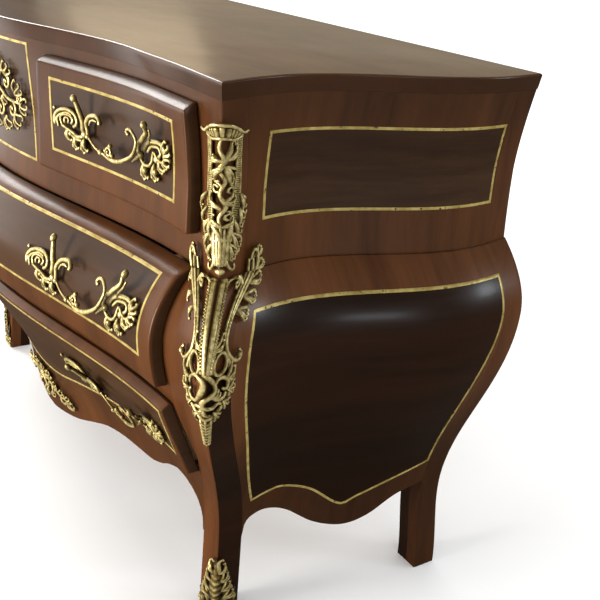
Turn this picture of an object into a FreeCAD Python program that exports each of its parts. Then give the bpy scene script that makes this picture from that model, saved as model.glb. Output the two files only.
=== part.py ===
import FreeCAD, Part
import math
import os

# Bombe chest of drawers in the rococo manner, in millimetres.
# The front faces -Y, +X is to the right of someone standing in front, +Z is up.

# Heights: the ankle above the floor, and each turn of the body above the one below it
ankle_height = 145.0
bulge_rise = 375.0
crease_rise = 98.0
waist_rise = 102.0
flare_rise = 140.0
top_thickness = 22.0

# Half widths: the top, and how far each level stands in or out from it
half_width = 660.0
waist_inset = 23.0
front_crease_inset = 15.0
back_crease_inset = 19.0
bulge_swell = 39.0
front_ankle_inset = 106.0
front_foot_inset = 100.0
back_ankle_inset = 72.0
back_foot_inset = 57.0

# Depths from the middle plane: the front corners of the top, and each level against them
front_depth = 265.0
depth_waist_inset = 19.0
depth_crease_inset = 17.0
depth_bulge_swell = 26.0
depth_ankle_inset = 84.0
depth_foot_inset = 79.0
back_depth = 230.0

# Serpentine waves of the front and of the sides
bow = 92.0
apron_bow = 52.0
top_shoulder_share = 0.64
body_shoulder_share = 0.95
apron_shoulder_share = 0.8
top_corner_hollow = 3.0
side_hollow = 15.0
side_swell = 26.0
leg_wave_share = 0.4
flare_power_share = 1.5
ledge = 3.0

# Boards of the carcase
side_thickness = 18.0
post_side_width = 44.0
leg_width = 46.0
back_post_width = 96.0
back_panel_thickness = 12.0
back_panel_recess = 8.0
board_thickness = 13.0
rail_depth = 60.0
bottom_rail_depth = 115.0
frieze_thickness = 20.0
divider_thickness = 12.0
guide_width = 15.0
guide_height = 20.0
joint_gap = 0.4

# Drawer fronts, which lie over the face of the carcase
stile_width = 49.0
overlay = 8.0
drawer_proud = 20.0
face_gap = 1.0
frieze_share = 0.378
top_reveal = 37.0
upper_rail_reveal = 44.0
middle_drawer_height = 160.0
lower_rail_reveal = 33.0
bottom_drawer_height = 135.0
bottom_drawer_taper = 32.0
bottom_drawer_step = 8.0
rail_overlap = 10.0

# Apron of the bottom drawer and the arches beside the legs
apron_drop = 162.0
apron_shoulder_x = 310.0
apron_shoulder_rise = 70.0
arch_foot_drop = 5.0
arch_run = 73.0
arch_rise = 68.0
arch_toe = 3.0
side_arch_run = 42.0
side_arch_rise = 41.0
side_drop_y = 40.0
side_drop = 62.0
side_back_arch_rise = 54.0
side_back_arch_run = 1.0

# Drawer boxes
box_side = 12.0
box_back_thickness = 10.0
box_bottom = 8.0
box_bottom_rise = 6.0
box_back_room = 40.0
box_back_drop = 8.0
run_gap = 0.3
box_top_gap = 1.0
seat_gap = 0.3
box_gap = 0.9

# Cast handles, bolted through the drawer fronts from behind
handle_share = 1.2214
handle_rise = 34.0
handle_bail_stand = 24.0
handle_plate = 9.0
handle_rod = 4.0
boss_radius = 7.0
boss_gap = 0.6
ring_stand = 2.0
bolt_radius = 2.5
bolt_gap = 0.2
bolt_head_radius = 5.5
bolt_head_height = 3.5
bolt_bite = 6.0
head_gap = 0.5
middle_handle_share = 0.69
bottom_handle_rise = 55.0
bottom_handle_share = 0.66

# Gilt mounts on the corners, feet, frieze and apron
mount_thickness = 4.0
mount_reach = 110.0
upper_mount_drop = 30.0
upper_mount_rise = 15.0
upper_mount_half = 33.0
lower_mount_rise = 34.0
lower_mount_drop = 126.0
lower_mount_half = 42.0
sabot_drop = 23.0
sabot_half = 60.0
sabot_wall = 3.0
cartouche_half = 165.0
cartouche_height = 126.0
apron_mount_half = 125.0
apron_mount_height = 70.0
apron_mount_rise = 58.0
plate_mount_thickness = 6.0

# Handle layout as shares of its half length and rise
left_boss_shares = (-0.80, 0.02)
right_boss_shares = (0.72, -0.08)
left_ball_shares = (-0.70, 1.0)
right_ball_shares = (0.64, 0.88)
bail_shares = (
    (-0.54, 0.15), (-0.47, -0.70), (-0.25, -0.92), (0, -1.0), (0.24, -0.74), (0.38, -0.24), (0.44, 0.2),
)
ring_radius_share = 0.17
ring_squeeze_share = 0.54
ring_bore_share = 0.62
ball_share = 0.17
arm_share = 0.8

# Outlines of the gilt mounts: the right half from top to bottom as shares of half width and height
upper_mount_shares = (
    (1.0, 0.02), (0.74, 0.09), (0.66, 0.30), (0.72, 0.55), (0.60, 0.76), (0.36, 0.88), (0.28, 1.0),
)
upper_window_shares = ((0.33, 0.25, 0.17, 0.09), (0.33, 0.54, 0.16, 0.11))
lower_mount_shares = (
    (0.0, 0.09), (0.22, 0.08), (0.36, 0.14), (0.56, 0.15), (0.72, 0.07), (0.90, 0.0), (1.0, 0.10),
    (0.84, 0.27), (0.74, 0.38), (0.86, 0.44), (0.66, 0.52), (0.64, 0.62), (0.54, 0.74), (0.26, 0.84),
    (0.12, 0.88), (0.13, 0.94), (0.0, 1.0),
)
lower_window_shares = ((0.42, 0.28, 0.15, 0.11), (0.32, 0.62, 0.14, 0.09))
sabot_shares = ((0.0, 0.0), (0.16, 0.22), (0.34, 0.48), (0.62, 0.66), (1.0, 0.70), (1.0, 1.0))
cartouche_shares = (
    (0.0, 0.0), (0.22, 0.10), (0.40, 0.02), (0.62, 0.20), (0.86, 0.26), (1.0, 0.52), (0.82, 0.70),
    (0.56, 0.64), (0.42, 0.86), (0.20, 0.90), (0.0, 1.0),
)
cartouche_window_shares = ((0.22, 0.45, 0.13, 0.20), (0.62, 0.46, 0.13, 0.12))
apron_mount_shares = (
    (0.0, 0.0), (0.18, 0.16), (0.36, 0.10), (0.46, 0.36), (0.74, 0.34), (1.0, 0.46), (0.90, 0.70),
    (0.60, 0.66), (0.40, 0.82), (0.16, 0.84), (0.0, 1.0),
)
apron_window_shares = ((0.24, 0.48, 0.11, 0.16), (0.70, 0.52, 0.10, 0.10))

# Helpers: how far cutting tools reach past the work, and how finely curves are sampled
overrun = 60.0
foot_strips = 2
sweep_strips = 8
bulge_strips = 4
waist_strips = 2
flare_strips = 3
column_width = 50.0
column_count = 40
row_count = 8
corner_steps = 4
rod_corners = 6
ring_corners = 10
window_corners = 6
swing_share = 0.45
seat_steps = 6

# Levels and edges worked out from the sizes above
bulge_height = ankle_height + bulge_rise
crease_height = bulge_height + crease_rise
waist_height = crease_height + waist_rise
height = waist_height + flare_rise
carcase_top = height - top_thickness
top_drawer_high = height - top_reveal
top_drawer_low = crease_height + upper_rail_reveal
middle_drawer_high = crease_height
middle_drawer_low = crease_height - middle_drawer_height
bottom_drawer_high = middle_drawer_low - lower_rail_reveal
bottom_drawer_low = bottom_drawer_high - bottom_drawer_height
apron_low = bottom_drawer_low - apron_drop
top_rail_low = top_drawer_high - rail_overlap
upper_rail_high = top_drawer_low + rail_overlap
lower_rail_high = middle_drawer_low + rail_overlap
lower_rail_low = bottom_drawer_high - rail_overlap
bottom_board_high = bottom_drawer_low + board_thickness
rail_back = front_depth - rail_depth
bottom_rail_back = front_depth - bottom_rail_depth
drawer_end = half_width - waist_inset - stile_width
frieze_half = frieze_share * drawer_end
post_inner = drawer_end - overlay
box_half = drawer_end - bottom_drawer_taper - overlay
board_half = box_half + guide_width + run_gap
frieze_panel_half = frieze_half + overlay
back_panel_half = half_width - back_post_width
back_panel_front = back_depth - back_panel_recess - back_panel_thickness
back_post_front = back_depth - post_side_width
box_back_y = back_panel_front - box_back_room
arch_leg_height = ankle_height - arch_foot_drop
arch_crest_height = arch_leg_height + arch_rise
arch_crest_x = half_width - front_ankle_inset - leg_width - arch_run
side_crest_height = arch_leg_height + side_arch_rise
side_drop_height = side_crest_height - side_drop
side_back_crest_height = side_drop_height + side_back_arch_rise
top_handle_x = (frieze_half + drawer_end) / 2
top_handle_height = (top_drawer_low + top_drawer_high) / 2
middle_handle_x = middle_handle_share * drawer_end
middle_handle_height = (middle_drawer_low + middle_drawer_high) / 2
bottom_handle_x = bottom_handle_share * drawer_end
bottom_handle_height = bottom_drawer_low + bottom_handle_rise
handle_half = handle_share * (box_half - box_side - top_handle_x)
upper_mount_top = carcase_top - upper_mount_drop
upper_mount_height = upper_mount_top - crease_height - upper_mount_rise
lower_mount_top = crease_height + lower_mount_rise
lower_mount_height = lower_mount_top - bulge_height + lower_mount_drop
sabot_height = ankle_height - sabot_drop
cartouche_middle = top_handle_height
apron_mount_middle = apron_low + apron_mount_rise

# Stations of each curve: top, waist, above the crease, below it, bulge, ankle, foot
front_out = (
    half_width,
    half_width - waist_inset,
    half_width - front_crease_inset,
    half_width - front_crease_inset + ledge,
    half_width + bulge_swell,
    half_width - front_ankle_inset,
    half_width - front_foot_inset,
)
back_out = (
    half_width,
    half_width - waist_inset,
    half_width - back_crease_inset,
    half_width - back_crease_inset + ledge,
    half_width + bulge_swell,
    half_width - back_ankle_inset,
    half_width - back_foot_inset,
)
corner_reach = (
    front_depth,
    front_depth - depth_waist_inset,
    front_depth - depth_crease_inset,
    front_depth - depth_crease_inset + ledge,
    front_depth + depth_bulge_swell,
    front_depth - depth_ankle_inset,
    front_depth - depth_foot_inset,
)
bow_reach = (bow, bow, bow, bow, bow, apron_bow, apron_bow)
corner_round = (-top_corner_hollow, 0, 0, 0, 0, 0, 0)
shoulder_shares = (
    top_shoulder_share,
    body_shoulder_share,
    body_shoulder_share,
    body_shoulder_share,
    body_shoulder_share,
    apron_shoulder_share,
    apron_shoulder_share,
)
wave_shares = (1, 1, 1, 1, 1, leg_wave_share, leg_wave_share)


def ease(share):
    """Cubic step from 0 to 1, level at both ends."""
    return share * share * (3 - 2 * share)


def upper_form(z, stations):
    """Value above the crease: a flare over the waist and a slight spread below it."""
    top, waist, crease = stations[:3]
    if z >= waist_height:
        share = (z - waist_height) / (height - waist_height)
        return waist + (top - waist) * share ** flare_power_share
    share = (waist_height - z) / (waist_height - crease_height)
    return waist + (crease - waist) * share ** 2


def lower_form(z, stations):
    """Value below the crease: full bulge, long sweep in to the ankle, small kick at the foot."""
    crease, bulge, ankle, foot = stations[3:]
    if z >= bulge_height:
        share = (z - bulge_height) / (crease_height - bulge_height)
        return bulge - (bulge - crease) * share ** 2
    if z >= ankle_height:
        share = (z - ankle_height) / (bulge_height - ankle_height)
        return ankle + (bulge - ankle) * ease(share)
    return foot + (ankle - foot) * ease(z / ankle_height)


def spread(low, high, count):
    """Evenly spaced values from low to high."""
    return [low + (high - low) * step / (count - 1) for step in range(count)]


def zone_lines():
    """Level lines of the whole body, closest where it turns most."""
    zones = (
        (0, ankle_height, foot_strips),
        (ankle_height, bulge_height, sweep_strips),
        (bulge_height, crease_height, bulge_strips),
        (crease_height, waist_height, waist_strips),
        (waist_height, height, flare_strips),
    )
    lines = [0]
    for low, high, count in zones:
        lines += spread(low, high, count + 1)[1:]
    return lines


level_lines = zone_lines()


def levels(low, high):
    """Heights of the sections of a piece: its ends and the level lines between them."""
    return [low] + [z for z in level_lines if low + joint_gap < z < high - joint_gap] + [high]


def between_lines(z, stations, form):
    """Value that runs straight from one level line to the next, so that all pieces share their strips."""
    below = max(line for line in level_lines if line <= z)
    above = min(line for line in level_lines if line >= z)
    if above == below:
        return form(z, stations)
    share = (z - below) / (above - below)
    return form(below, stations) * (1 - share) + form(above, stations) * share


def upper_curve(z, stations):
    """Value on the strips above the crease."""
    return between_lines(z, stations, upper_form)


def lower_curve(z, stations):
    """Value on the strips below the crease."""
    return between_lines(z, stations, lower_form)


def front_form(x, z, curve):
    """Y of the smooth carcase front: bowed in the middle, turning at the shoulders."""
    share = min(abs(x) / curve(z, front_out), 1)
    shoulder = curve(z, shoulder_shares)
    if share < shoulder:
        wave = curve(z, bow_reach) * math.cos(math.pi * share / (2 * shoulder)) ** 2
    else:
        turn = (share - shoulder) / (1 - shoulder)
        wave = curve(z, corner_round) * math.sin(math.pi * turn) ** 2
    return -curve(z, corner_reach) - wave


def front_y(x, z, curve):
    """Y of the carcase front, which runs straight from one column or level line to the next."""
    below = math.floor(x / column_width) * column_width
    above = below + column_width
    share = (x - below) / column_width

    def on_level(level, ends):
        left, right = [front_form(end, level, curve) for end in ends]
        return left * (1 - share) + right * share

    return between_lines(z, (below, above), on_level)


def columns(left, right):
    """Places of the points of a piece along the front: its ends and the column lines between them."""
    first = math.floor(left / column_width)
    lines = [index * column_width for index in range(first, first + column_count)]
    return [left] + [x for x in lines if left + joint_gap < x < right - joint_gap] + [right]


def side_x(y, z, curve):
    """X of the right side: hollow behind the front corner, swelling towards the back."""
    reach = curve(z, corner_reach)
    share = (y + reach) / (back_depth + reach)
    base = curve(z, front_out) * (1 - share) + curve(z, back_out) * share
    wave = side_hollow * math.sin(math.pi * share) + side_swell * math.sin(2 * math.pi * share)
    return base - curve(z, wave_shares) * wave


def post_inner_x(z, curve):
    """Inner edge of a front post, which narrows into the leg."""
    return min(post_inner, curve(z, front_out) - leg_width)


def back_inner_x(z, curve):
    """Inner edge of a back post, which narrows into the leg."""
    return min(back_panel_half, curve(z, back_out) - leg_width)


def box(x0, x1, y0, y1, z0, z1):
    """Board with square edges between two corners."""
    return Part.makeBox(x1 - x0, y1 - y0, z1 - z0, FreeCAD.Vector(x0, y0, z0))


def flat_face(points):
    """Flat face with the given corners."""
    return Part.Face(Part.makePolygon(points + points[:1]))


def loft(sections):
    """Solid with flat three-cornered faces between closed sections that have the same number of points."""
    faces = [flat_face(sections[0]), flat_face(sections[-1])]
    for low, high in zip(sections, sections[1:]):
        for a, b, c, d in zip(low, low[1:] + low[:1], high[1:] + high[:1], high):
            faces.append(flat_face([a, b, c]))
            faces.append(flat_face([a, c, d]))
    shell = Part.makeShell(faces)
    shell.sewShape()
    solid = Part.makeSolid(shell)
    if solid.Volume < 0:
        solid.reverse()
    return solid


def front_run(left, right, z, curve, ahead):
    """Points from left to right along the front at one height, standing ahead of the carcase."""
    return [FreeCAD.Vector(x, front_y(x, z, curve) - ahead, z) for x in columns(left, right)]


def front_slab(left, right, low, high, curve, ahead, thickness):
    """Curved board of even depth whose face stands ahead of the carcase front."""
    sections = []
    for z in levels(low, high):
        face = front_run(left, right, z, curve, ahead)
        back = [FreeCAD.Vector(p.x, p.y + thickness, p.z) for p in reversed(face)]
        sections.append(face + back)
    return loft(sections)


def plank(left, right, low, high, curve, ahead, y_end):
    """Board that fits the curved front at one end and is square at y_end."""
    sections = []
    for z in levels(low, high):
        back = [FreeCAD.Vector(right, y_end, z), FreeCAD.Vector(left, y_end, z)]
        sections.append(front_run(left, right, z, curve, ahead) + back)
    return loft(sections)


def side_slab(low, high, curve):
    """Right side board of even thickness between the posts."""
    sections = []
    for z in levels(low, high):
        start = post_side_width - curve(z, corner_reach) + joint_gap
        stop = back_post_front - joint_gap
        face = [FreeCAD.Vector(side_x(y, z, curve), y, z) for y in spread(start, stop, row_count)]
        back = [FreeCAD.Vector(p.x - side_thickness, p.y, p.z) for p in reversed(face)]
        sections.append(face + back)
    return loft(sections)


def front_post_section(z, curve):
    """Plan section of the right front post: arris, front edge, inner corner, side edge."""
    reach = curve(z, corner_reach)
    inner = post_inner_x(z, curve)
    rear = post_side_width - reach
    return [
        FreeCAD.Vector(curve(z, front_out), -reach, z),
        FreeCAD.Vector(side_x(rear, z, curve), rear, z),
        FreeCAD.Vector(inner, rear, z),
        FreeCAD.Vector(inner, front_y(inner, z, curve), z),
    ]


def back_post_section(z, curve):
    """Plan section of the right back post."""
    inner = back_inner_x(z, curve)
    return [
        FreeCAD.Vector(side_x(back_post_front, z, curve), back_post_front, z),
        FreeCAD.Vector(curve(z, back_out), back_depth, z),
        FreeCAD.Vector(inner, back_depth, z),
        FreeCAD.Vector(inner, back_post_front, z),
    ]


def corner_section(z, curve, thickness):
    """Plan section of the wide corner that the gilt mounts follow, thickness outside it."""
    reach = curve(z, corner_reach)
    out = curve(z, front_out)
    steps = spread(0, mount_reach, corner_steps)
    front = [FreeCAD.Vector(out - d, front_y(out - d, z, curve) - thickness, z) for d in steps]
    side = [FreeCAD.Vector(side_x(d - reach, z, curve) + thickness, d - reach, z) for d in steps]
    arris = FreeCAD.Vector(out + thickness, -reach - thickness, z)
    inner = FreeCAD.Vector(out - mount_reach, mount_reach - reach, z)
    return [arris] + side[1:] + [inner] + front[:0:-1]


def two_zones(section):
    """Solid made of a lower loft from the floor to the crease and an upper loft above it."""
    lower = loft([section(z, lower_curve) for z in levels(0, crease_height)])
    upper = loft([section(z, upper_curve) for z in levels(crease_height, carcase_top)])
    return lower.fuse(upper)


def mirrored(shape):
    """Left-hand copy of a right-hand piece."""
    return shape.mirror(FreeCAD.Vector(0, 0, 0), FreeCAD.Vector(1, 0, 0))


def largest(shape):
    """Main solid of a shape, without the slivers of a cut."""
    return max(shape.Solids, key=lambda solid: solid.Volume)


def bezier(points):
    """Curve edge with the given poles."""
    curve = Part.BezierCurve()
    curve.setPoles(points)
    return curve.toShape()


def swing(start, stop, level_share):
    """Poles of a curve that leaves start and meets stop level, in the plane of the two points."""
    reach = (stop - start) * level_share
    return [
        start,
        FreeCAD.Vector(start.x + reach.x, start.y + reach.y, start.z),
        FreeCAD.Vector(stop.x - reach.x, stop.y - reach.y, stop.z),
        stop,
    ]


def line(a, b):
    """Straight edge."""
    return Part.makeLine(a, b)


def prism(edges, direction):
    """Solid swept straight from a closed flat outline."""
    return Part.Face(Part.Wire(edges)).extrude(direction)


def top_panel():
    """Wooden top, flush with the flare of the carcase."""
    sections = []
    for z in (carcase_top, height):
        out = upper_curve(z, front_out)
        reach = upper_curve(z, corner_reach)
        right = [FreeCAD.Vector(side_x(y, z, upper_curve), y, z) for y in spread(-reach, back_depth, row_count)]
        left = [FreeCAD.Vector(-p.x, p.y, p.z) for p in reversed(right)]
        sections.append(front_run(-out, out, z, upper_curve, 0)[1:-1] + right + left)
    return loft(sections)


def front_post():
    """Right front post with its cabriole leg."""
    return two_zones(front_post_section)


def back_post():
    """Right back post with its leg."""
    return two_zones(back_post_section)


def side_upper_panel():
    """Right side above the crease."""
    return side_slab(crease_height, carcase_top, upper_curve)


def side_lower_panel():
    """Right side below the crease, with the shaped apron between the legs."""
    low = side_drop_height - overrun
    panel = side_slab(low, crease_height - joint_gap, lower_curve)
    leg = post_side_width - lower_curve(arch_leg_height, corner_reach)
    start = FreeCAD.Vector(0, leg - joint_gap, arch_leg_height)
    crest = FreeCAD.Vector(0, leg + side_arch_run, side_crest_height)
    drop = FreeCAD.Vector(0, side_drop_y, side_drop_height)
    rear = FreeCAD.Vector(0, back_post_front - side_back_arch_run, side_back_crest_height)
    knee = FreeCAD.Vector(0, start.y, crest.z)
    out = FreeCAD.Vector(0, back_depth, rear.z)
    under = FreeCAD.Vector(0, back_depth, low - overrun)
    front_under = FreeCAD.Vector(0, -front_depth, low - overrun)
    front_over = FreeCAD.Vector(0, -front_depth, start.z)
    edges = [
        line(front_over, start),
        bezier([start, knee, crest]),
        bezier(swing(crest, drop, swing_share)),
        bezier(swing(drop, rear, swing_share)),
        line(rear, out),
        line(out, under),
        line(under, front_under),
        line(front_under, front_over),
    ]
    return panel.cut(prism(edges, FreeCAD.Vector(half_width + bulge_swell + overrun, 0, 0)))


def rail(low, high, curve):
    """Front rail between the posts, sawn to the serpentine with a straight back."""
    return plank(-post_inner, post_inner, low, high, curve, 0, -rail_back)


def bottom_rail():
    """Rail under the bottom drawer with the arches that run down into the legs."""
    far = front_depth + bow + overrun
    heights = levels(arch_leg_height, bottom_board_high)
    right = [FreeCAD.Vector(post_inner_x(z, lower_curve) - joint_gap, -far, z) for z in heights]
    left = [FreeCAD.Vector(-p.x, p.y, p.z) for p in right]
    widest = right[-1].x
    solid = plank(-widest, widest, arch_leg_height, bottom_board_high, lower_curve, 0, -bottom_rail_back)
    toe = right[0].x - arch_toe
    left_toe = FreeCAD.Vector(-toe, -far, arch_leg_height)
    right_toe = FreeCAD.Vector(toe, -far, arch_leg_height)
    left_crest = FreeCAD.Vector(-arch_crest_x, -far, arch_crest_height)
    right_crest = FreeCAD.Vector(arch_crest_x, -far, arch_crest_height)
    edges = [
        line(left[0], left_toe),
        bezier([left_toe, FreeCAD.Vector(-toe, -far, arch_crest_height), left_crest]),
        line(left_crest, right_crest),
        bezier([right_crest, FreeCAD.Vector(toe, -far, arch_crest_height), right_toe]),
        line(right_toe, right[0]),
    ]
    edges += [line(a, b) for a, b in zip(right, right[1:])]
    edges.append(line(right[-1], left[-1]))
    edges += [line(a, b) for a, b in zip(left[::-1], left[-2::-1])]
    return solid.common(prism(edges, FreeCAD.Vector(0, far, 0)))


def frieze_panel():
    """Fixed centre panel between the two top drawers."""
    half = frieze_panel_half
    return front_slab(-half, half, upper_rail_high, top_rail_low, upper_curve, 0, frieze_thickness)


def frieze_divider():
    """Right partition behind the frieze panel."""
    inner = frieze_panel_half - divider_thickness
    ahead = -frieze_thickness - seat_gap
    return plank(inner, frieze_panel_half, upper_rail_high, top_rail_low, upper_curve, ahead, back_panel_front)


def back_panel():
    """Flat back board let in between the back posts."""
    rear = back_panel_front + back_panel_thickness
    low = bottom_board_high - board_thickness
    return box(-back_panel_half, back_panel_half, back_panel_front, rear, low, carcase_top)


def dust_board(high, front):
    """Board under a row of drawers, level with the top of its rail."""
    return box(-board_half, board_half, -front, back_panel_front, high - board_thickness, high)


def drawer_guides():
    """Strips on the boards that keep the drawer boxes straight."""
    strips = []
    inner = box_half + run_gap
    rows = ((upper_rail_high, rail_back), (lower_rail_high, rail_back), (bottom_board_high, bottom_rail_back))
    for floor, front in rows:
        for x in (inner, -inner - guide_width):
            strips.append(box(x, x + guide_width, -front, back_panel_front, floor, floor + guide_height))
    return Part.makeCompound(strips)


def plain_drawer_front(left, right, low, high, curve):
    """Drawer front that follows the carcase at an even depth."""
    return front_slab(left, right, low, high, curve, drawer_proud, drawer_proud - face_gap)


def bottom_drawer_front():
    """Bottom drawer front, drawn in towards the legs, with the shaped apron below it."""
    end = drawer_end - bottom_drawer_step
    slab = plain_drawer_front(-end, end, apron_low, bottom_drawer_high, lower_curve)
    far = front_depth + bow + overrun
    top = FreeCAD.Vector(end, -far, bottom_drawer_high)
    tip = FreeCAD.Vector(drawer_end - bottom_drawer_taper, -far, bottom_drawer_low)
    shoulder = FreeCAD.Vector(apron_shoulder_x, -far, apron_low + apron_shoulder_rise)
    middle = FreeCAD.Vector(0, -far, apron_low)
    rise = tip - shoulder
    climb = [
        shoulder,
        FreeCAD.Vector(shoulder.x + rise.x * swing_share, -far, shoulder.z),
        FreeCAD.Vector(tip.x - rise.x * swing_share, -far, tip.z - rise.z * swing_share / 2),
        tip,
    ]
    edges = []
    for sign in (-1, 1):
        for poles in (swing(middle, shoulder, swing_share), climb, [tip, top]):
            edges.append(bezier([FreeCAD.Vector(sign * p.x, p.y, p.z) for p in poles]))
    edges.append(line(top, FreeCAD.Vector(-top.x, top.y, top.z)))
    return slab.common(prism(Part.__sortEdges__(edges), FreeCAD.Vector(0, 2 * far, 0)))


def drawer_box(left, right, low, high, curve):
    """Sides, back and bottom of a drawer box behind its front."""
    ahead = face_gap - box_gap
    floor = low + run_gap
    roof = high - box_top_gap
    sides = Part.makeCompound(
        [
            plank(left, left + box_side, floor, roof, curve, ahead, box_back_y),
            plank(right - box_side, right, floor, roof, curve, ahead, box_back_y),
        ]
    )
    inner_left = left + box_side
    inner_right = right - box_side
    inner_back = box_back_y - box_back_thickness
    bottom_low = floor + box_bottom_rise
    bottom_high = bottom_low + box_bottom
    bottom = plank(inner_left, inner_right, bottom_low, bottom_high, curve, ahead, inner_back)
    back = box(inner_left, inner_right, inner_back, box_back_y, bottom_low, roof - box_back_drop)
    return {"sides": sides, "back": back, "bottom": bottom}


def face_frame(x, z, curve):
    """Placement on a drawer face: local X along it, local Z out of it."""
    step = handle_rod
    here = FreeCAD.Vector(x, front_y(x, z, curve) - drawer_proud, z)
    along = FreeCAD.Vector(2 * step, front_y(x + step, z, curve) - front_y(x - step, z, curve), 0)
    up = FreeCAD.Vector(0, front_y(x, z + step, curve) - front_y(x, z - step, curve), 2 * step)
    along.normalize()
    out = along.cross(up)
    out.normalize()
    rise = out.cross(along)
    matrix = FreeCAD.Matrix(
        along.x, rise.x, out.x, here.x,
        along.y, rise.y, out.y, here.y,
        along.z, rise.z, out.z, here.z,
        0, 0, 0, 1,
    )
    return FreeCAD.Placement(matrix)


def handle_frames(x, z, curve):
    """Function that gives the placement on the drawer face of a point of the handle at x, z."""
    slope = face_frame(x, z, curve).Rotation.multVec(FreeCAD.Vector(1, 0, 0)).x

    def frame(shares):
        across = x + shares[0] * handle_half * slope
        return face_frame(across, z + shares[1] * handle_rise, curve)

    return frame


def standing(out):
    """Point straight out of a local frame."""
    return FreeCAD.Vector(0, 0, out)


def tube(points, radii, side):
    """Many-sided rod along points with a radius at each; side is a direction that it never runs in."""
    sections = []
    for index, (point, radius) in enumerate(zip(points, radii)):
        tangent = points[min(index + 1, len(points) - 1)] - points[max(index - 1, 0)]
        across = tangent.cross(side)
        across.normalize()
        beside = across.cross(tangent)
        beside.normalize()
        corners = []
        for corner in range(rod_corners):
            angle = 2 * math.pi * corner / rod_corners
            corners.append(point + (across * math.cos(angle) + beside * math.sin(angle)) * radius)
        sections.append(corners)
    return loft(sections)


def rod(a, b, radius_a, radius_b):
    """Straight rod between two points."""
    run = b - a
    side = FreeCAD.Vector(1, 0, 0) if abs(run.x) < abs(run.y) + abs(run.z) else standing(1)
    return tube((a, b), (radius_a, radius_b), side)


def knob(centre, out, radius):
    """Knob of a double cone, pointing out."""
    points = (centre - out * radius, centre, centre + out * radius)
    return tube(points, (radius / 2, radius, radius / 2), FreeCAD.Vector(1, 0, 0))


def scroll_ring(frame):
    """Pierced C-scroll at one end of a handle, with the boss inside it."""
    major = ring_radius_share * handle_half
    minor = major * ring_squeeze_share
    faces = []
    for share in (1, ring_bore_share):
        corners = []
        for corner in range(ring_corners):
            angle = 2 * math.pi * corner / ring_corners
            x = major * share * math.cos(angle)
            corners.append(FreeCAD.Vector(x, minor * share * math.sin(angle), ring_stand))
        faces.append(flat_face(corners))
    ring = faces[0].cut(faces[1]).extrude(standing(handle_plate - ring_stand))
    boss = rod(standing(boss_gap), standing(handle_plate), boss_radius, boss_radius)
    whole = ring.fuse(boss)
    whole.Placement = frame
    return whole


def bail(frame):
    """Rod bent in one sweep between the two ends of a handle."""
    points = [frame(shares).multVec(standing(handle_bail_stand)) for shares in bail_shares]
    return tube(points, [handle_rod] * len(points), FreeCAD.Vector(0, 1, 0))


def handle_casting(frame):
    """Handle in one casting: bail, pierced scroll ends and raised balls."""
    pieces = [bail(frame)]
    ends = (
        (left_boss_shares, left_ball_shares, bail_shares[0]),
        (right_boss_shares, right_ball_shares, bail_shares[-1]),
    )
    for boss, ball, bend in ends:
        seat = frame(boss)
        foot = seat.multVec(standing(handle_plate))
        out = seat.Rotation.multVec(standing(1))
        tip = frame(ball).multVec(standing(handle_bail_stand))
        pieces.append(scroll_ring(seat))
        pieces.append(knob(tip, out, ball_share * handle_rise))
        for point in (tip, frame(bend).multVec(standing(handle_bail_stand))):
            pieces.append(rod(foot, point, arm_share * boss_radius, handle_rod))
    return pieces[0].multiFuse(pieces[1:]).removeSplitter()


def back_depth_at(frame, curve):
    """Depth at which a line square to the drawer face leaves the back of the front."""
    out = frame.Rotation.multVec(standing(1))
    depth = drawer_proud
    for step in range(seat_steps):
        here = frame.multVec(standing(-depth))
        depth += (here.y - front_y(here.x, here.z, curve) + face_gap) / out.y
    return depth


def bolt_and_holes(frame, depth):
    """Bolt of a handle, its blind hole in the boss and its hole through the drawer front."""
    inside = standing(-depth - head_gap)
    outside = standing(-depth - head_gap - bolt_head_height)
    tip = standing(bolt_bite)
    reach = bolt_radius + bolt_gap
    shank = rod(inside, tip, bolt_radius, bolt_radius)
    head = rod(outside, inside, bolt_head_radius, bolt_head_radius)
    blind = rod(standing(0), standing(bolt_bite + bolt_gap), reach, reach)
    through = rod(inside, tip, reach, reach)
    shapes = (shank.fuse(head), blind, through)
    for shape in shapes:
        shape.Placement = frame
    return shapes


def fit_handles(front, places, curve):
    """Set handles on a drawer front: the drilled front, the handles and their bolts."""
    handles = []
    bolts = []
    for x, z in places:
        frame = handle_frames(x, z, curve)
        handle = handle_casting(frame)
        for boss in (left_boss_shares, right_boss_shares):
            seat = frame(boss)
            bolt, blind, through = bolt_and_holes(seat, back_depth_at(seat, curve))
            bolts.append(bolt)
            handle = handle.cut(blind)
            front = front.cut(through)
        handles.append(largest(handle))
    return front, handles, Part.makeCompound(bolts)


def mount_face(shares, windows, half, top, tall, place):
    """Flat pierced outline, alike on both sides, set by place(across, height)."""

    def at(across, down):
        return place(across * half, top - down * tall)

    right = [at(across, down) for across, down in shares]
    left = [at(-across, down) for across, down in reversed(shares) if across > 0]
    points = right + left
    face = flat_face(points)
    holes = []
    for across, down, wide, high in windows:
        for sign in (-1, 1):
            corners = []
            for corner in range(window_corners):
                angle = 2 * math.pi * corner / window_corners
                corners.append(at(sign * across + wide * math.cos(angle), down + high * math.sin(angle)))
            holes.append(flat_face(corners))
    return face.cut(Part.makeCompound(holes)) if holes else face


def corner_place(across, z):
    """Point beside the arris, square to the diagonal of the right front corner."""
    curve = upper_curve if z > crease_height else lower_curve
    shift = (curve(z, front_out) - half_width - curve(z, corner_reach) + front_depth) / 2
    half = across * math.sqrt(0.5)
    return FreeCAD.Vector(half_width - mount_reach + shift + half, mount_reach - front_depth + shift + half, z)


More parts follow.
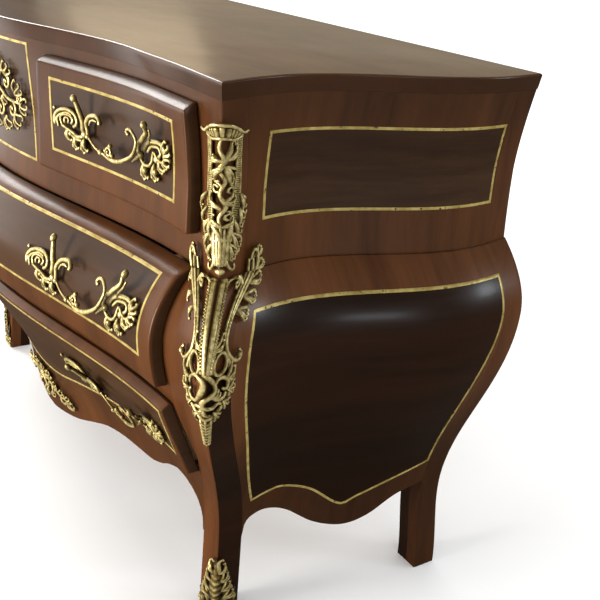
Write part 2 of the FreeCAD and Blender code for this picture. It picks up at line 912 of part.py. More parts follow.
def corner_shell(low, high):
    """Casting of even thickness wrapped round the right front corner from low to high."""
    zones = (
        (low, min(high, crease_height), lower_curve),
        (max(low, crease_height), high, upper_curve),
    )
    shells = []
    for start, stop, curve in zones:
        if start < stop:
            outer = loft([corner_section(z, curve, mount_thickness) for z in levels(start, stop)])
            inner = loft([corner_section(z, curve, 0) for z in levels(start, stop)])
            shells.append(outer.cut(inner))
    return shells[0].multiFuse(shells[1:])


def corner_mount(shares, windows, half, top, tall, carriers):
    """Pierced casting bent round the right front corner and seated on its carriers."""
    face = mount_face(shares, windows, half, top, tall, corner_place)
    outward = FreeCAD.Vector(2 * mount_reach, -2 * mount_reach, 0)
    skin = corner_shell(top - tall, top).common(face.extrude(outward))
    for carrier in carriers:
        skin = skin.cut(carrier)
    return largest(skin)


def sabot_section(z, curve):
    """Plan section of the foot, grown by the wall of the sabot."""
    points = front_post_section(z, curve)
    signs = ((1, -1), (1, 1), (-1, 1), (-1, -1))
    grown = []
    for point, (across, back) in zip(points, signs):
        grown.append(FreeCAD.Vector(point.x + sabot_wall * across, point.y + sabot_wall * back, z))
    return grown


def sabot(post):
    """Gilt leaf shoe round the right front foot."""
    form = loft([sabot_section(z, lower_curve) for z in levels(0, sabot_height)])
    face = mount_face(sabot_shares, (), sabot_half, sabot_height, sabot_height, corner_place)
    skin = form.common(face.extrude(FreeCAD.Vector(2 * mount_reach, -2 * mount_reach, 0)))
    return skin.cut(post)


def plate_mount(shares, windows, half, middle, tall, curve, ahead):
    """Pierced casting that follows the curved front."""
    high = middle + tall / 2
    sections = []
    for z in levels(middle - tall / 2, high):
        back = front_run(-half, half, z, curve, ahead + seat_gap)
        face = [FreeCAD.Vector(p.x, p.y - plate_mount_thickness, p.z) for p in reversed(back)]
        sections.append(back + face)
    far = front_depth + depth_bulge_swell + bow + overrun
    outline_face = mount_face(shares, windows, half, high, tall, lambda x, z: FreeCAD.Vector(x, -far, z))
    return largest(loft(sections).common(outline_face.extrude(FreeCAD.Vector(0, far, 0))))


def export(name, shape):
    """Write one piece."""
    shape.exportStep("parts/%s.step" % name)


def build():
    """All the pieces of the chest by name."""
    post = front_post()
    rear = back_post()
    upper = side_upper_panel()
    lower = side_lower_panel()
    divider = frieze_divider()
    pieces = {
        "top_panel": top_panel(),
        "front_post_right": post,
        "front_post_left": mirrored(post),
        "back_post_right": rear,
        "back_post_left": mirrored(rear),
        "side_upper_panel_right": upper,
        "side_upper_panel_left": mirrored(upper),
        "side_lower_panel_right": lower,
        "side_lower_panel_left": mirrored(lower),
        "back_panel": back_panel(),
        "top_rail": rail(top_rail_low, carcase_top, upper_curve),
        "upper_rail": rail(crease_height, upper_rail_high, upper_curve),
        "lower_rail": rail(lower_rail_low, lower_rail_high, lower_curve),
        "bottom_rail": bottom_rail(),
        "frieze_panel": frieze_panel(),
        "frieze_divider_right": divider,
        "frieze_divider_left": mirrored(divider),
        "upper_dust_board": dust_board(upper_rail_high, rail_back),
        "middle_dust_board": dust_board(lower_rail_high, rail_back),
        "bottom_board": dust_board(bottom_board_high, bottom_rail_back),
        "drawer_guides": drawer_guides(),
    }

    inner = frieze_panel_half + run_gap
    right_front = plain_drawer_front(frieze_half, drawer_end, top_drawer_low, top_drawer_high, upper_curve)
    right_box = drawer_box(inner, box_half, upper_rail_high, top_rail_low, upper_curve)
    left_box = {name: mirrored(shape) for name, shape in right_box.items()}
    drawers = (
        ("top_right_drawer_", right_front, right_box, top_handle_x),
        ("top_left_drawer_", mirrored(right_front), left_box, -top_handle_x),
    )
    for prefix, front, parts, x in drawers:
        front, handles, bolts = fit_handles(front, [(x, top_handle_height)], upper_curve)
        parts.update({"front": front, "handle": handles[0], "handle_bolts": bolts})
        for name, shape in parts.items():
            pieces[prefix + name] = shape

    front = plain_drawer_front(-drawer_end, drawer_end, middle_drawer_low, middle_drawer_high, lower_curve)
    places = [(-middle_handle_x, middle_handle_height), (middle_handle_x, middle_handle_height)]
    front, handles, bolts = fit_handles(front, places, lower_curve)
    parts = drawer_box(-box_half, box_half, lower_rail_high, crease_height, lower_curve)
    parts.update({"front": front, "handle_left": handles[0], "handle_right": handles[1], "handle_bolts": bolts})
    for name, shape in parts.items():
        pieces["middle_drawer_" + name] = shape

    front = bottom_drawer_front()
    places = [(-bottom_handle_x, bottom_handle_height), (bottom_handle_x, bottom_handle_height)]
    front, handles, bolts = fit_handles(front, places, lower_curve)
    parts = drawer_box(-box_half, box_half, bottom_board_high, lower_rail_low, lower_curve)
    parts.update({"front": front, "handle_left": handles[0], "handle_right": handles[1], "handle_bolts": bolts})
    for name, shape in parts.items():
        pieces["bottom_drawer_" + name] = shape
    pieces["bottom_drawer_apron_mount"] = plate_mount(
        apron_mount_shares,
        apron_window_shares,
        apron_mount_half,
        apron_mount_middle,
        apron_mount_height,
        lower_curve,
        drawer_proud,
    )

    carriers = (post, upper, lower, pieces["upper_rail"])
    right_hand = {
        "upper_corner_mount": corner_mount(
            upper_mount_shares,
            upper_window_shares,
            upper_mount_half,
            upper_mount_top,
            upper_mount_height,
            carriers,
        ),
        "lower_corner_mount": corner_mount(
            lower_mount_shares,
            lower_window_shares,
            lower_mount_half,
            lower_mount_top,
            lower_mount_height,
            carriers,
        ),
        "sabot": sabot(post),
    }
    for name, shape in right_hand.items():
        pieces[name + "_right"] = shape
        pieces[name + "_left"] = mirrored(shape)
    pieces["frieze_cartouche"] = plate_mount(
        cartouche_shares,
        cartouche_window_shares,
        cartouche_half,
        cartouche_middle,
        cartouche_height,
        upper_curve,
        0,
    )
    return pieces


def main():
    """Build the chest, centre it on its own footprint and write the pieces."""
    os.makedirs("parts", exist_ok=True)
    front_most = front_depth + depth_bulge_swell + bow + drawer_proud
    shift = FreeCAD.Vector(0, (front_most - back_depth) / 2, 0)
    for name, shape in build().items():
        moved = shape.copy()
        moved.translate(shift)
        export(name, moved)


main()
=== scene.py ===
import logging
import math
from collections.abc import Callable, Sequence
from dataclasses import dataclass, field
from enum import Enum

import bmesh
import bpy
import numpy as np
from mathutils import Matrix, Vector


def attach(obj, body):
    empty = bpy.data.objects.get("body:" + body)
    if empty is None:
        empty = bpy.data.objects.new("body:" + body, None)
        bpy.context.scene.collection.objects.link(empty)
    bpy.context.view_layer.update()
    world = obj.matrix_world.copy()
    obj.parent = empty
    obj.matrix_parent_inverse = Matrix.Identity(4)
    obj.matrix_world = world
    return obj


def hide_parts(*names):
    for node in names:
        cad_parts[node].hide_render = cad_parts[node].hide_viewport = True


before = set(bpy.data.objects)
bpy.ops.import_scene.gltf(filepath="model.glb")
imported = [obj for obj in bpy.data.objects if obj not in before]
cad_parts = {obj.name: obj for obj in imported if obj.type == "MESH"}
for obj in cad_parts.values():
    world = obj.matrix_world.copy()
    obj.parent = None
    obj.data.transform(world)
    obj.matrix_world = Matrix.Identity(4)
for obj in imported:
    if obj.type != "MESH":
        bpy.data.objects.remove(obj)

LOG = logging.getLogger("bombe_chest")
MM = 0.001
# Shift in Y that centres the depth of the chest, and how far drawer fronts stand out, in millimetres
CENTRING = 86.5
DRAWER_PROUD = 20.0
# Depth inside the stringing given to points that always take the dark field colours as painted shade, or
# never
PAINTED_SHADE, PLAIN = 100.0, -100.0
SIGNS = (-1, 1)
Points = Sequence[Sequence[float]]
Faces = list[tuple[int, ...]]
Triple = tuple[float, float, float]
Colour = Triple
Row = tuple[float, ...]
Place = Callable[[np.ndarray], np.ndarray]
Surface = Callable[[np.ndarray, np.ndarray], np.ndarray]
Grids = tuple[np.ndarray, np.ndarray, np.ndarray]
Thing = bpy.types.Object
Node = bpy.types.Node
Socket = bpy.types.NodeSocket
Inputs = dict[str | int, object]
Kinds = dict[str, str]


class Zone(Enum):
    """Part of the body on one side of the crease."""

    UPPER = "above the crease"
    LOWER = "below the crease"


class Hand(Enum):
    """Side of the chest, with the sign of its X."""

    RIGHT = 1
    LEFT = -1

    @property
    def side(self) -> str:
        """Word for the side in the names of pieces."""
        return self.name.lower()

    def mirror(self, points: np.ndarray) -> np.ndarray:
        """Points of a right-hand piece moved to this side."""
        return points * (self.value, 1, 1)


class Along(Enum):
    """Axis that a board runs along."""

    FRONT = 0
    SIDE = 1


class Grain(Enum):
    """Direction of the grain of a plain board, as the stretch of its pattern along X, Y and Z."""

    ALONG_X = (1.5, 26.0, 26.0)
    ALONG_Y = (26.0, 1.5, 26.0)


def ease(share: np.ndarray) -> np.ndarray:
    """Cubic step from 0 to 1, level at both ends."""
    return share * share * (3 - 2 * share)


def arc(a: np.ndarray, b: np.ndarray, c: np.ndarray, t: np.ndarray) -> np.ndarray:
    """Points at shares t of a round bend from a to c that heads for b."""
    return (1 - t) ** 2 * a + 2 * t * (1 - t) * b + t**2 * c


@dataclass(frozen=True)
class Form:
    """Swelling surfaces on one side of the crease that the pieces follow, in millimetres.

    Each row gives a value at the top, waist, above and below the crease, bulge, ankle and foot.
    """

    zone: Zone
    height: float = 860.0
    waist: float = 720.0
    crease: float = 618.0
    bulge: float = 520.0
    ankle: float = 145.0
    back: float = 230.0
    side_hollow: float = 15.0
    side_swell: float = 26.0
    front_out: Row = (660, 637, 645, 648, 699, 554, 560)
    back_out: Row = (660, 637, 641, 644, 699, 588, 603)
    reach: Row = (265, 246, 248, 251, 291, 181, 186)
    bow: Row = (92, 92, 92, 92, 92, 52, 52)
    corner: Row = (-3, 0, 0, 0, 0, 0, 0)
    shoulder: Row = (0.64, 0.95, 0.95, 0.95, 0.95, 0.8, 0.8)
    wave: Row = (1, 1, 1, 1, 1, 0.4, 0.4)

    def value(self, z: np.ndarray, row: Row) -> np.ndarray:
        """Value of a row at each height.

        Args:
            z: Heights.
            row: Values at the stations.

        Returns:
            One value for each height.
        """
        z = np.asarray(z, float)
        top, waist, over, under, bulge, ankle, foot = row
        if self.zone is Zone.UPPER:
            flare = np.clip((z - self.waist) / (self.height - self.waist), 0, None) ** 1.5
            spread = np.clip((self.waist - z) / (self.waist - self.crease), 0, None) ** 2
            return waist + (top - waist) * flare + (over - waist) * spread
        swell = bulge - (bulge - under) * ((z - self.bulge) / (self.crease - self.bulge)) ** 2
        sweep = ankle + (bulge - ankle) * ease((z - self.ankle) / (self.bulge - self.ankle))
        kick = foot + (ankle - foot) * ease(z / self.ankle)
        return np.where(z >= self.bulge, swell, np.where(z >= self.ankle, sweep, kick))

    def front(self, x: np.ndarray, z: np.ndarray) -> np.ndarray:
        """Y of the carcase front.

        Args:
            x: Places along the front.
            z: Heights.

        Returns:
            Y of each point.
        """
        share = np.minimum(np.abs(x) / self.value(z, self.front_out), 1)
        shoulder = self.value(z, self.shoulder)
        middle = self.value(z, self.bow) * np.cos(np.pi * share / (2 * shoulder)) ** 2
        turn = (share - shoulder) / (1 - shoulder)
        end = self.value(z, self.corner) * np.sin(np.pi * turn) ** 2
        return -self.value(z, self.reach) - np.where(share < shoulder, middle, end)

    def side(self, y: np.ndarray, z: np.ndarray) -> np.ndarray:
        """X of the right side.

        Args:
            y: Places along the side.
            z: Heights.

        Returns:
            X of each point.
        """
        reach = self.value(z, self.reach)
        share = (y + reach) / (self.back + reach)
        base = self.value(z, self.front_out) * (1 - share) + self.value(z, self.back_out) * share
        wave = self.side_hollow * np.sin(np.pi * share) + self.side_swell * np.sin(2 * np.pi * share)
        return base - self.value(z, self.wave) * wave

    @staticmethod
    def slopes(surface: Surface, along: np.ndarray, z: np.ndarray) -> Grids:
        """Lean of a surface.

        Args:
            surface: Front or side.
            along: Places along it.
            z: Heights.

        Returns:
            Slope along it, slope upwards and the length of the normal.
        """
        level = (surface(along + 1, z) - surface(along - 1, z)) / 2
        steep = (surface(along, z + 1) - surface(along, z - 1)) / 2
        return level, steep, np.sqrt(1 + level**2 + steep**2)

    def front_place(self, x: np.ndarray, z: np.ndarray, w: np.ndarray) -> np.ndarray:
        """Points that stand square off the front.

        Args:
            x: Places along the front.
            z: Heights.
            w: Distances off the carcase face.

        Returns:
            Points, one row each.
        """
        level, steep, long = self.slopes(self.front, x, z)
        return np.stack([x + w * level / long, self.front(x, z) - w / long, z + w * steep / long], -1)

    def side_place(self, y: np.ndarray, z: np.ndarray, w: np.ndarray) -> np.ndarray:
        """Points that stand square off the right side.

        Args:
            y: Places along the side.
            z: Heights.
            w: Distances off the side.

        Returns:
            Points, one row each.
        """
        level, steep, long = self.slopes(self.side, y, z)
        return np.stack([self.side(y, z) + w / long, y - w * level / long, z - w * steep / long], -1)


UPPER, LOWER = Form(Zone.UPPER), Form(Zone.LOWER)


def corner_place(flat: np.ndarray, turn: float = 7.0) -> np.ndarray:
    """Points round the right front corner.

    Args:
        flat: Distance from the arris, below zero on the front and above zero on the side, height and lift.
        turn: Half width of the rounded corner.

    Returns:
        Points, one row each.
    """
    points = np.empty_like(flat)
    above = flat[:, 1] >= UPPER.crease
    for form, mask in ((UPPER, above), (LOWER, ~above)):
        s, z, w = flat[mask].T
        front = form.front_place(form.value(z, form.front_out) - np.maximum(-s, 0), z, w)
        side = form.side_place(np.maximum(s, 0) - form.value(z, form.reach), z, w)
        share = ease(np.clip(0.5 + s / (2 * turn), 0, 1))[:, None]
        points[mask] = front * (1 - share) + side * share
    return points


def smooth(points: Points, count: int, closed: bool = False) -> np.ndarray:
    """Evenly spaced points on a curve through given points.

    Args:
        points: Points that the curve runs through.
        count: Number of points to return.
        closed: Whether the curve runs back to its start.

    Returns:
        Points, one row each; a closed curve doesn't repeat its first point.
    """
    p = np.asarray(points, float)
    p = np.vstack([p[-1:], p, p[:2]] if closed else [2 * p[0] - p[1], p, 2 * p[-1] - p[-2]])
    fine_steps = 14
    t = np.linspace(0, 1, fine_steps, endpoint=False)[:, None]
    runs = []
    for a, b, c, d in zip(p, p[1:], p[2:], p[3:]):
        bend = (2 * a - 5 * b + 4 * c - d) * t**2 + (3 * b - a - 3 * c + d) * t**3
        runs.append(0.5 * (2 * b + (c - a) * t + bend))
    line = np.vstack(runs + [p[-2:-1]])
    length = np.append(0, np.cumsum(np.linalg.norm(np.diff(line, axis=0), axis=1)))
    at = np.linspace(0, length[-1], count + closed)[:count]
    return np.stack([np.interp(at, length, column) for column in line.T], 1)


def unit(rows: np.ndarray) -> np.ndarray:
    """Rows scaled to a length of one."""
    return rows / np.maximum(np.linalg.norm(rows, axis=1, keepdims=True), 1e-6)


def inside_distance(points: np.ndarray, outline: np.ndarray) -> np.ndarray:
    """Distance from points to a closed outline.

    Args:
        points: Flat points, one row each.
        outline: Corners of the outline.

    Returns:
        Distance of each point, above zero inside the outline.
    """
    near = np.full(len(points), 1e9)
    odd = np.zeros(len(points), bool)
    for a, b in zip(outline, np.roll(outline, -1, 0)):
        run = b - a
        share = np.clip(((points - a) @ run) / max(run @ run, 1e-9), 0, 1)
        near = np.minimum(near, np.linalg.norm(points - a - share[:, None] * run, axis=1))
        over = (a[1] > points[:, 1]) != (b[1] > points[:, 1])
        lift = run[1] if abs(run[1]) > 1e-9 else 1e-9
        odd ^= over & (points[:, 0] < a[0] + (points[:, 1] - a[1]) / lift * run[0])
    return np.where(odd, near, -near)


def grid_faces(rows: int, columns: int, wrap: bool = False, closed: bool = False, start: int = 0) -> Faces:
    """Four-cornered faces of a grid of points.

    Args:
        rows: Rows of points.
        columns: Points in each row.
        wrap: Whether each row runs back to its first point.
        closed: Whether the last row joins the first.
        start: Number of the first point.

    Returns:
        Corners of each face.
    """
    faces = []
    for row in range(rows if closed else rows - 1):
        a, b = start + row * columns, start + (row + 1) % rows * columns
        for column in range(columns if wrap else columns - 1):
            after = (column + 1) % columns
            faces.append((a + column, a + after, b + after, b + column))
    return faces


def board_faces(rows: int, columns: int) -> Faces:
    """Faces of a board between two grids of points.

    Args:
        rows: Rows of each grid.
        columns: Points in each row.

    Returns:
        Corners of each face.
    """
    count = rows * columns
    faces = grid_faces(rows, columns) + [face[::-1] for face in grid_faces(rows, columns, start=count)]
    numbers = np.arange(count).reshape(rows, columns)
    rim = [*numbers[0], *numbers[1:, -1], *numbers[-1, -2::-1], *numbers[-2:0:-1, 0]]
    return faces + [(b, a, a + count, b + count) for a, b in zip(rim, rim[1:] + rim[:1])]


def settle(piece: Thing) -> None:
    """Turn what the modifiers of a piece make into its own plain mesh.

    Args:
        piece: Piece to change.
    """
    graph = bpy.context.evaluated_depsgraph_get()
    mesh = bpy.data.meshes.new_from_object(piece.evaluated_get(graph))
    mesh.name = piece.name
    piece.modifiers.clear()
    piece.data = mesh


def linked(name: str, data: bpy.types.ID) -> Thing:
    """New object in the scene.

    Args:
        name: Name of the object.
        data: Its mesh, lamp or camera.

    Returns:
        The object.
    """
    thing = bpy.data.objects.new(name, data)
    bpy.context.scene.collection.objects.link(thing)
    return thing


def solid(
    name: str,
    points: np.ndarray,
    faces: Faces,
    values: dict[str, np.ndarray] | None = None,
    uv: np.ndarray | None = None,
    bevel: float = 0.0,
    sharp: float = 38.0,
) -> Thing:
    """Closed piece from points in millimetres about the middle plane.

    Args:
        name: Name of the piece.
        points: Points, one row each.
        faces: Corners of each face.
        values: Numbers for each point by name.
        uv: Veneer map for each point, in millimetres along the surface.
        bevel: Width of the eased edges.
        sharp: Angle in degrees past which an edge stays crisp.

    Returns:
        The new object.
    """
    mesh = bpy.data.meshes.new(name)
    mesh.from_pydata(((points + (0, CENTRING, 0)) * MM).tolist(), [], faces)
    for key, numbers in (values or {}).items():
        layer = mesh.attributes.new(key, "FLOAT", "POINT")
        layer.data.foreach_set("value", np.asarray(numbers, np.float32))
    if uv is not None:
        corners = np.empty(len(mesh.loops), np.int32)
        mesh.loops.foreach_get("vertex_index", corners)
        layer = mesh.uv_layers.new(name="Veneer")
        layer.data.foreach_set("uv", np.asarray(uv * MM, np.float32)[corners].ravel())
    work = bmesh.new()
    work.from_mesh(mesh)
    bmesh.ops.recalc_face_normals(work, faces=work.faces)
    work.to_mesh(mesh)
    work.free()
    piece = linked(name, mesh)
    if bevel:
        modifier = piece.modifiers.new("eased edges", "BEVEL")
        modifier.width = bevel * MM
        modifier.segments = 3
        modifier.limit_method = "ANGLE"
        modifier.angle_limit = math.radians(50)
        settle(piece)
    piece.data.shade_smooth()
    piece.data.set_sharp_from_angle(angle=math.radians(sharp))
    return piece


def board(
    name: str,
    face: np.ndarray,
    back: np.ndarray,
    along: Along,
    outline: np.ndarray | None = None,
    bevel: float = 0.0,
) -> Thing:
    """Curved veneered board between two grids of points, with painted shade on its back and ends.

    Args:
        name: Name of the piece.
        face: Grid of the shown face.
        back: Grid of the back, point for point.
        along: Axis that the face runs along.
        outline: Outline of its stringing.
        bevel: Width of the eased edges.

    Returns:
        The new object.
    """
    flat = face[..., [along.value, 2]].reshape(-1, 2)
    inside = np.full(len(flat), PLAIN) if outline is None else inside_distance(flat, outline)
    # The back grid takes painted shade, which darkens the ends and edges of the board
    values = {"field": np.append(inside, np.full(len(flat), PAINTED_SHADE))}
    points = np.vstack([face.reshape(-1, 3), back.reshape(-1, 3)])
    return solid(name, points, board_faces(*face.shape[:2]), values, np.tile(flat, (2, 1)), bevel)


def at_level(flat: np.ndarray, z: float) -> np.ndarray:
    """Flat points lifted to a height."""
    return np.column_stack([flat, np.full(len(flat), z)])


def tower(name: str, stacks: Sequence[np.ndarray], stain_and_shade: np.ndarray, uv: np.ndarray) -> Thing:
    """Piece lofted through stacks of closed rings, each stack closed at both ends.

    Args:
        name: Name of the piece.
        stacks: One array of rings for each stack.
        stain_and_shade: Depth of each point inside the dark field colours; the dark points are painted
            shade.
        uv: Veneer map for each point.

    Returns:
        The new object.
    """
    faces: Faces = []
    start = 0
    for stack in stacks:
        rows, columns = stack.shape[:2]
        top = start + (rows - 1) * columns
        faces += grid_faces(rows, columns, wrap=True, start=start)
        faces += [tuple(range(start + columns - 1, start - 1, -1)), tuple(range(top, top + columns))]
        start += rows * columns
    points = np.vstack([stack.reshape(-1, 3) for stack in stacks])
    return solid(name, points, faces, {"field": stain_and_shade}, uv)


class NodeTree:
    """Short way to write a node tree."""

    def __init__(self, tree: bpy.types.NodeTree) -> None:
        """Start from an empty tree."""
        self.tree = tree
        tree.nodes.clear()

    def feed(self, node: Node, inputs: Inputs) -> None:
        """Set inputs of a node, or link them where a socket is given.

        Args:
            node: Node to feed.
            inputs: Values or output sockets by input name or number.
        """
        for key, value in inputs.items():
            if isinstance(value, Socket):
                self.tree.links.new(value, node.inputs[key])
            else:
                node.inputs[key].default_value = value

    def add(self, kind: str, inputs: Inputs | None = None, **settings: object) -> Node:
        """Add a node, set it up and feed it.

        Args:
            kind: Type of the node.
            inputs: Values or output sockets by input name or number.
            **settings: Properties of the node.

        Returns:
            The node.
        """
        node = self.tree.nodes.new(kind)
        for key, value in settings.items():
            setattr(node, key, value)
        self.feed(node, inputs or {})
        return node

    def group(self, name: str, inputs: Inputs) -> bpy.types.NodeOutputs:
        """Outputs of a shared effect that is fed with the given inputs."""
        return self.add("ShaderNodeGroup", inputs, node_tree=bpy.data.node_groups[name]).outputs

    def math(self, kind: str, a: object, b: object) -> Socket:
        """Result of an operation on two values or sockets."""
        return self.add("ShaderNodeMath", {0: a, 1: b}, operation=kind).outputs[0]

    def plus(self, base: object, value: object, share: object, middle: float = 0.0) -> Socket:
        """Base with a share of a value added.

        Args:
            base: Value or socket.
            value: Socket to add.
            share: Share of it.
            middle: Value that adds nothing.

        Returns:
            Socket of the sum.
        """
        if middle:
            value = self.math("SUBTRACT", value, middle)
        return self.math("ADD", base, self.math("MULTIPLY", value, share))

    def ramp(self, value: object, low: float, high: float, start: float = 0.0, stop: float = 1.0) -> Socket:
        """Value moved smoothly from one range to another.

        Args:
            value: Value or socket.
            low: Value that gives start.
            high: Value that gives stop.
            start: Result at and before low.
            stop: Result at and past high.

        Returns:
            Socket of the result.
        """
        inputs = {"Value": value, "From Min": low, "From Max": high, "To Min": start, "To Max": stop}
        return self.add("ShaderNodeMapRange", inputs, interpolation_type="SMOOTHSTEP").outputs[0]

    def mix(self, share: object, a: object, b: object) -> Socket:
        """Colour between a and b, with the given share of b."""
        return self.add("ShaderNodeMix", {0: share, 6: a, 7: b}, data_type="RGBA").outputs[2]

    def noise(self, vector: object, scale: float, detail: float = 4.0, rough: float = 0.55) -> Socket:
        """Cloudy pattern.

        Args:
            vector: Socket of the place.
            scale: Fineness.
            detail: Number of finer layers.
            rough: Strength of the finer layers.

        Returns:
            Socket of the value.
        """
        inputs = {"Vector": vector, "Scale": scale, "Detail": detail, "Roughness": rough}
        return self.add("ShaderNodeTexNoise", inputs).outputs[0]

    def place(self) -> Socket:
        """Place on the object."""
        return self.add("ShaderNodeTexCoord").outputs["Object"]

    def veneer(self) -> Socket:
        """Place on the veneer map."""
        return self.add("ShaderNodeUVMap", uv_map="Veneer").outputs[0]

    def stretch(self, vector: object, scale: Triple) -> Socket:
        """Place scaled along each axis."""
        return self.add("ShaderNodeMapping", {0: vector, "Scale": scale}).outputs[0]

    def bump(self, strength: float, depth: float, height: object) -> Socket:
        """Normal bent by a height pattern of the given depth in metres."""
        inputs = {"Strength": strength, "Distance": depth, "Height": height}
        return self.add("ShaderNodeBump", inputs).outputs[0]


def colour(screen: Colour) -> tuple[float, ...]:
    """Linear colour from screen values of 0 to 255.

    Args:
        screen: Red, green and blue.

    Returns:
        Linear colour with full cover.
    """
    share = np.asarray(screen) / 255
    linear = np.where(share <= 0.04045, share / 12.92, ((share + 0.055) / 1.055) ** 2.4)
    return (*linear.tolist(), 1.0)


class Effects:
    """Shader groups that several finishes share by name."""

    def __init__(self) -> None:
        """Build each group once."""
        self.grain()
        self.patina()
        self.polish()

    @staticmethod
    def begin(name: str, inputs: Kinds, outputs: Kinds) -> tuple[NodeTree, list[Socket], Node]:
        """Empty shader group with named sockets.

        Args:
            name: Name of the group.
            inputs: Socket types by input name.
            outputs: Socket types by output name.

        Returns:
            The tree, the sockets of its inputs in order and its output node.
        """
        group = bpy.data.node_groups.new(name, "ShaderNodeTree")
        for way, sockets in (("INPUT", inputs), ("OUTPUT", outputs)):
            for key, kind in sockets.items():
                group.interface.new_socket(key, in_out=way, socket_type="NodeSocket" + kind)
        tree = NodeTree(group)
        given = tree.add("NodeGroupInput").outputs
        return tree, [given[key] for key in inputs], tree.add("NodeGroupOutput")

    def grain(self) -> None:
        """Wood grain: long streaks, clouded figure and short pores."""
        inputs = {"Vector": "Vector", "Dark": "Color", "Light": "Color"}
        outputs = {"Color": "Color", "Height": "Float", "Streak": "Float"}
        tree, (place, dark, light), stop = self.begin("wood_grain", inputs, outputs)
        warp = tree.add("ShaderNodeTexNoise", {"Vector": place, "Scale": 0.35, "Detail": 3.0}).outputs[1]
        bent = tree.add("ShaderNodeVectorMath", {0: place, 1: warp}, operation="ADD").outputs[0]
        streak = tree.ramp(tree.noise(bent, 1.1, 6.0, 0.6), 0.3, 0.72)
        fine = tree.ramp(tree.noise(bent, 5.0, 3.0, 0.7), 0.35, 0.65)
        cloud = tree.ramp(tree.noise(place, 0.22, 3.0), 0.3, 0.7)
        share = tree.plus(tree.plus(tree.math("MULTIPLY", streak, 0.3), cloud, 0.55), fine, 0.15)
        tree.feed(stop, {"Color": tree.mix(share, dark, light), "Height": fine, "Streak": streak})

    def patina(self) -> None:
        """Age on gilt metal: dirt in the hollows, rubbed crests and mottling."""
        inputs = {"Vector": "Vector", "Crest": "Float", "Dirt": "Color", "Metal": "Color", "Rubbed": "Color"}
        outputs = {"Color": "Color", "Roughness": "Float", "Metallic": "Float", "Height": "Float"}
        tree, (place, crest, dirt, metal, rubbed), stop = self.begin("gilt_patina", inputs, outputs)
        mottle = tree.noise(place, 170.0, 4.0, 0.6)
        speck = tree.noise(place, 620.0, 2.0, 0.6)
        height = tree.plus(crest, mottle, 0.7, middle=0.5)
        clean = tree.ramp(height, 0.3, 0.78)
        made = {
            "Color": tree.mix(tree.ramp(height, 0.72, 1.05), tree.mix(clean, dirt, metal), rubbed),
            "Roughness": tree.plus(tree.plus(0.62, clean, -0.2), speck, 0.25, middle=0.5),
            "Metallic": tree.plus(0.3, clean, 0.35),
            "Height": tree.plus(mottle, speck, 0.4),
        }
        tree.feed(stop, made)

    def polish(self) -> None:
        """Hand-rubbed polish: uneven gloss with faint wiping marks."""
        inputs = {"Vector": "Vector", "Gloss": "Float", "Spread": "Float"}
        tree, (place, gloss, spread), stop = self.begin("rubbed_polish", inputs, {"Roughness": "Float"})
        cloud = tree.noise(place, 7.0, 3.0)
        wiped = tree.noise(place, 90.0, 2.0)
        uneven = tree.plus(tree.math("MULTIPLY", cloud, 0.75), wiped, 0.25)
        tree.feed(stop, {"Roughness": tree.plus(gloss, uneven, spread, middle=0.5)})


class Finish:
    """Base of the finishes: a material with one shader."""

    name: str

    def sockets(self, tree: NodeTree) -> dict[str, object]:
        """What feeds the shader, by input name; each finish says its own."""
        raise NotImplementedError

    def material(self) -> bpy.types.Material:
        """Build the material.

        Returns:
            The material.
        """
        material = bpy.data.materials.new(self.name)
        material.use_nodes = True
        tree = NodeTree(material.node_tree)
        shader = tree.add("ShaderNodeBsdfPrincipled")
        tree.add("ShaderNodeOutputMaterial", {"Surface": shader.outputs[0]})
        tree.feed(shader, self.sockets(tree))
        return material


@dataclass(frozen=True)
class VeneerFinish(Finish):
    """Polished veneer with a darker field inside the stringing and reddish banding outside it, darker
    towards the top and, where asked, with painted shade towards the floor.
    """

    name: str = "polished_veneer"
    band: tuple[Colour, Colour] = ((54, 28, 8), (88, 50, 18))
    field: tuple[Colour, Colour] = ((42, 24, 10), (72, 47, 26))
    gloss: float = 0.38
    coat: float = 0.15
    edge_coat: float = 0.15
    # Darker towards the top, mixed towards the first field colour
    high_darkening: float = 0.45
    high_darkening_levels: tuple[float, float] = (0.72, 0.84)
    # Painted shade towards the floor, mixed towards the first field colour
    low_painted_shade: float = 0.0
    low_shade_levels: tuple[float, float] = (0.45, 0.24)
    field_stretch: Triple = (3.0, 34.0, 1.0)
    band_stretch: Triple = (40.0, 4.0, 1.0)

    def sockets(self, tree: NodeTree) -> dict[str, object]:
        """What feeds the shader.

        Args:
            tree: Tree of the material.

        Returns:
            Values and sockets by input name.
        """
        place, body = tree.veneer(), tree.place()
        inner, outer = (
            tree.group("wood_grain", {"Vector": tree.stretch(place, scale), "Dark": dark, "Light": light})
            for scale, (dark, light) in (
                (self.field_stretch, map(colour, self.field)),
                (self.band_stretch, map(colour, self.band)),
            )
        )
        mask = tree.ramp(tree.add("ShaderNodeAttribute", attribute_name="field").outputs["Fac"], -0.6, 0.6)
        stain_and_shade = tree.mix(mask, outer["Color"], inner["Color"])
        # Ramps by height: darker towards the top, and painted shade towards the floor
        for levels, share in ((self.high_darkening_levels, self.high_darkening), (self.low_shade_levels, self.low_painted_shade)):
            if share:
                height = tree.add("ShaderNodeSeparateXYZ", {0: body}).outputs["Z"]
                stain_and_shade = tree.mix(tree.ramp(height, *levels, 0.0, share), stain_and_shade, colour(self.field[0]))
        coat = self.coat
        if self.coat > self.edge_coat:
            coat = tree.ramp(mask, 0.0, 1.0, self.coat, self.edge_coat)
        polish = tree.group("rubbed_polish", {"Vector": body, "Gloss": self.gloss, "Spread": 0.16})
        return {
            "Base Color": stain_and_shade,
            "Roughness": polish["Roughness"],
            "Normal": tree.bump(0.03, 0.0006, inner["Height"]),
            "Specular IOR Level": 0.25,
            "Coat Weight": coat,
            "Coat Roughness": 0.2,
        }


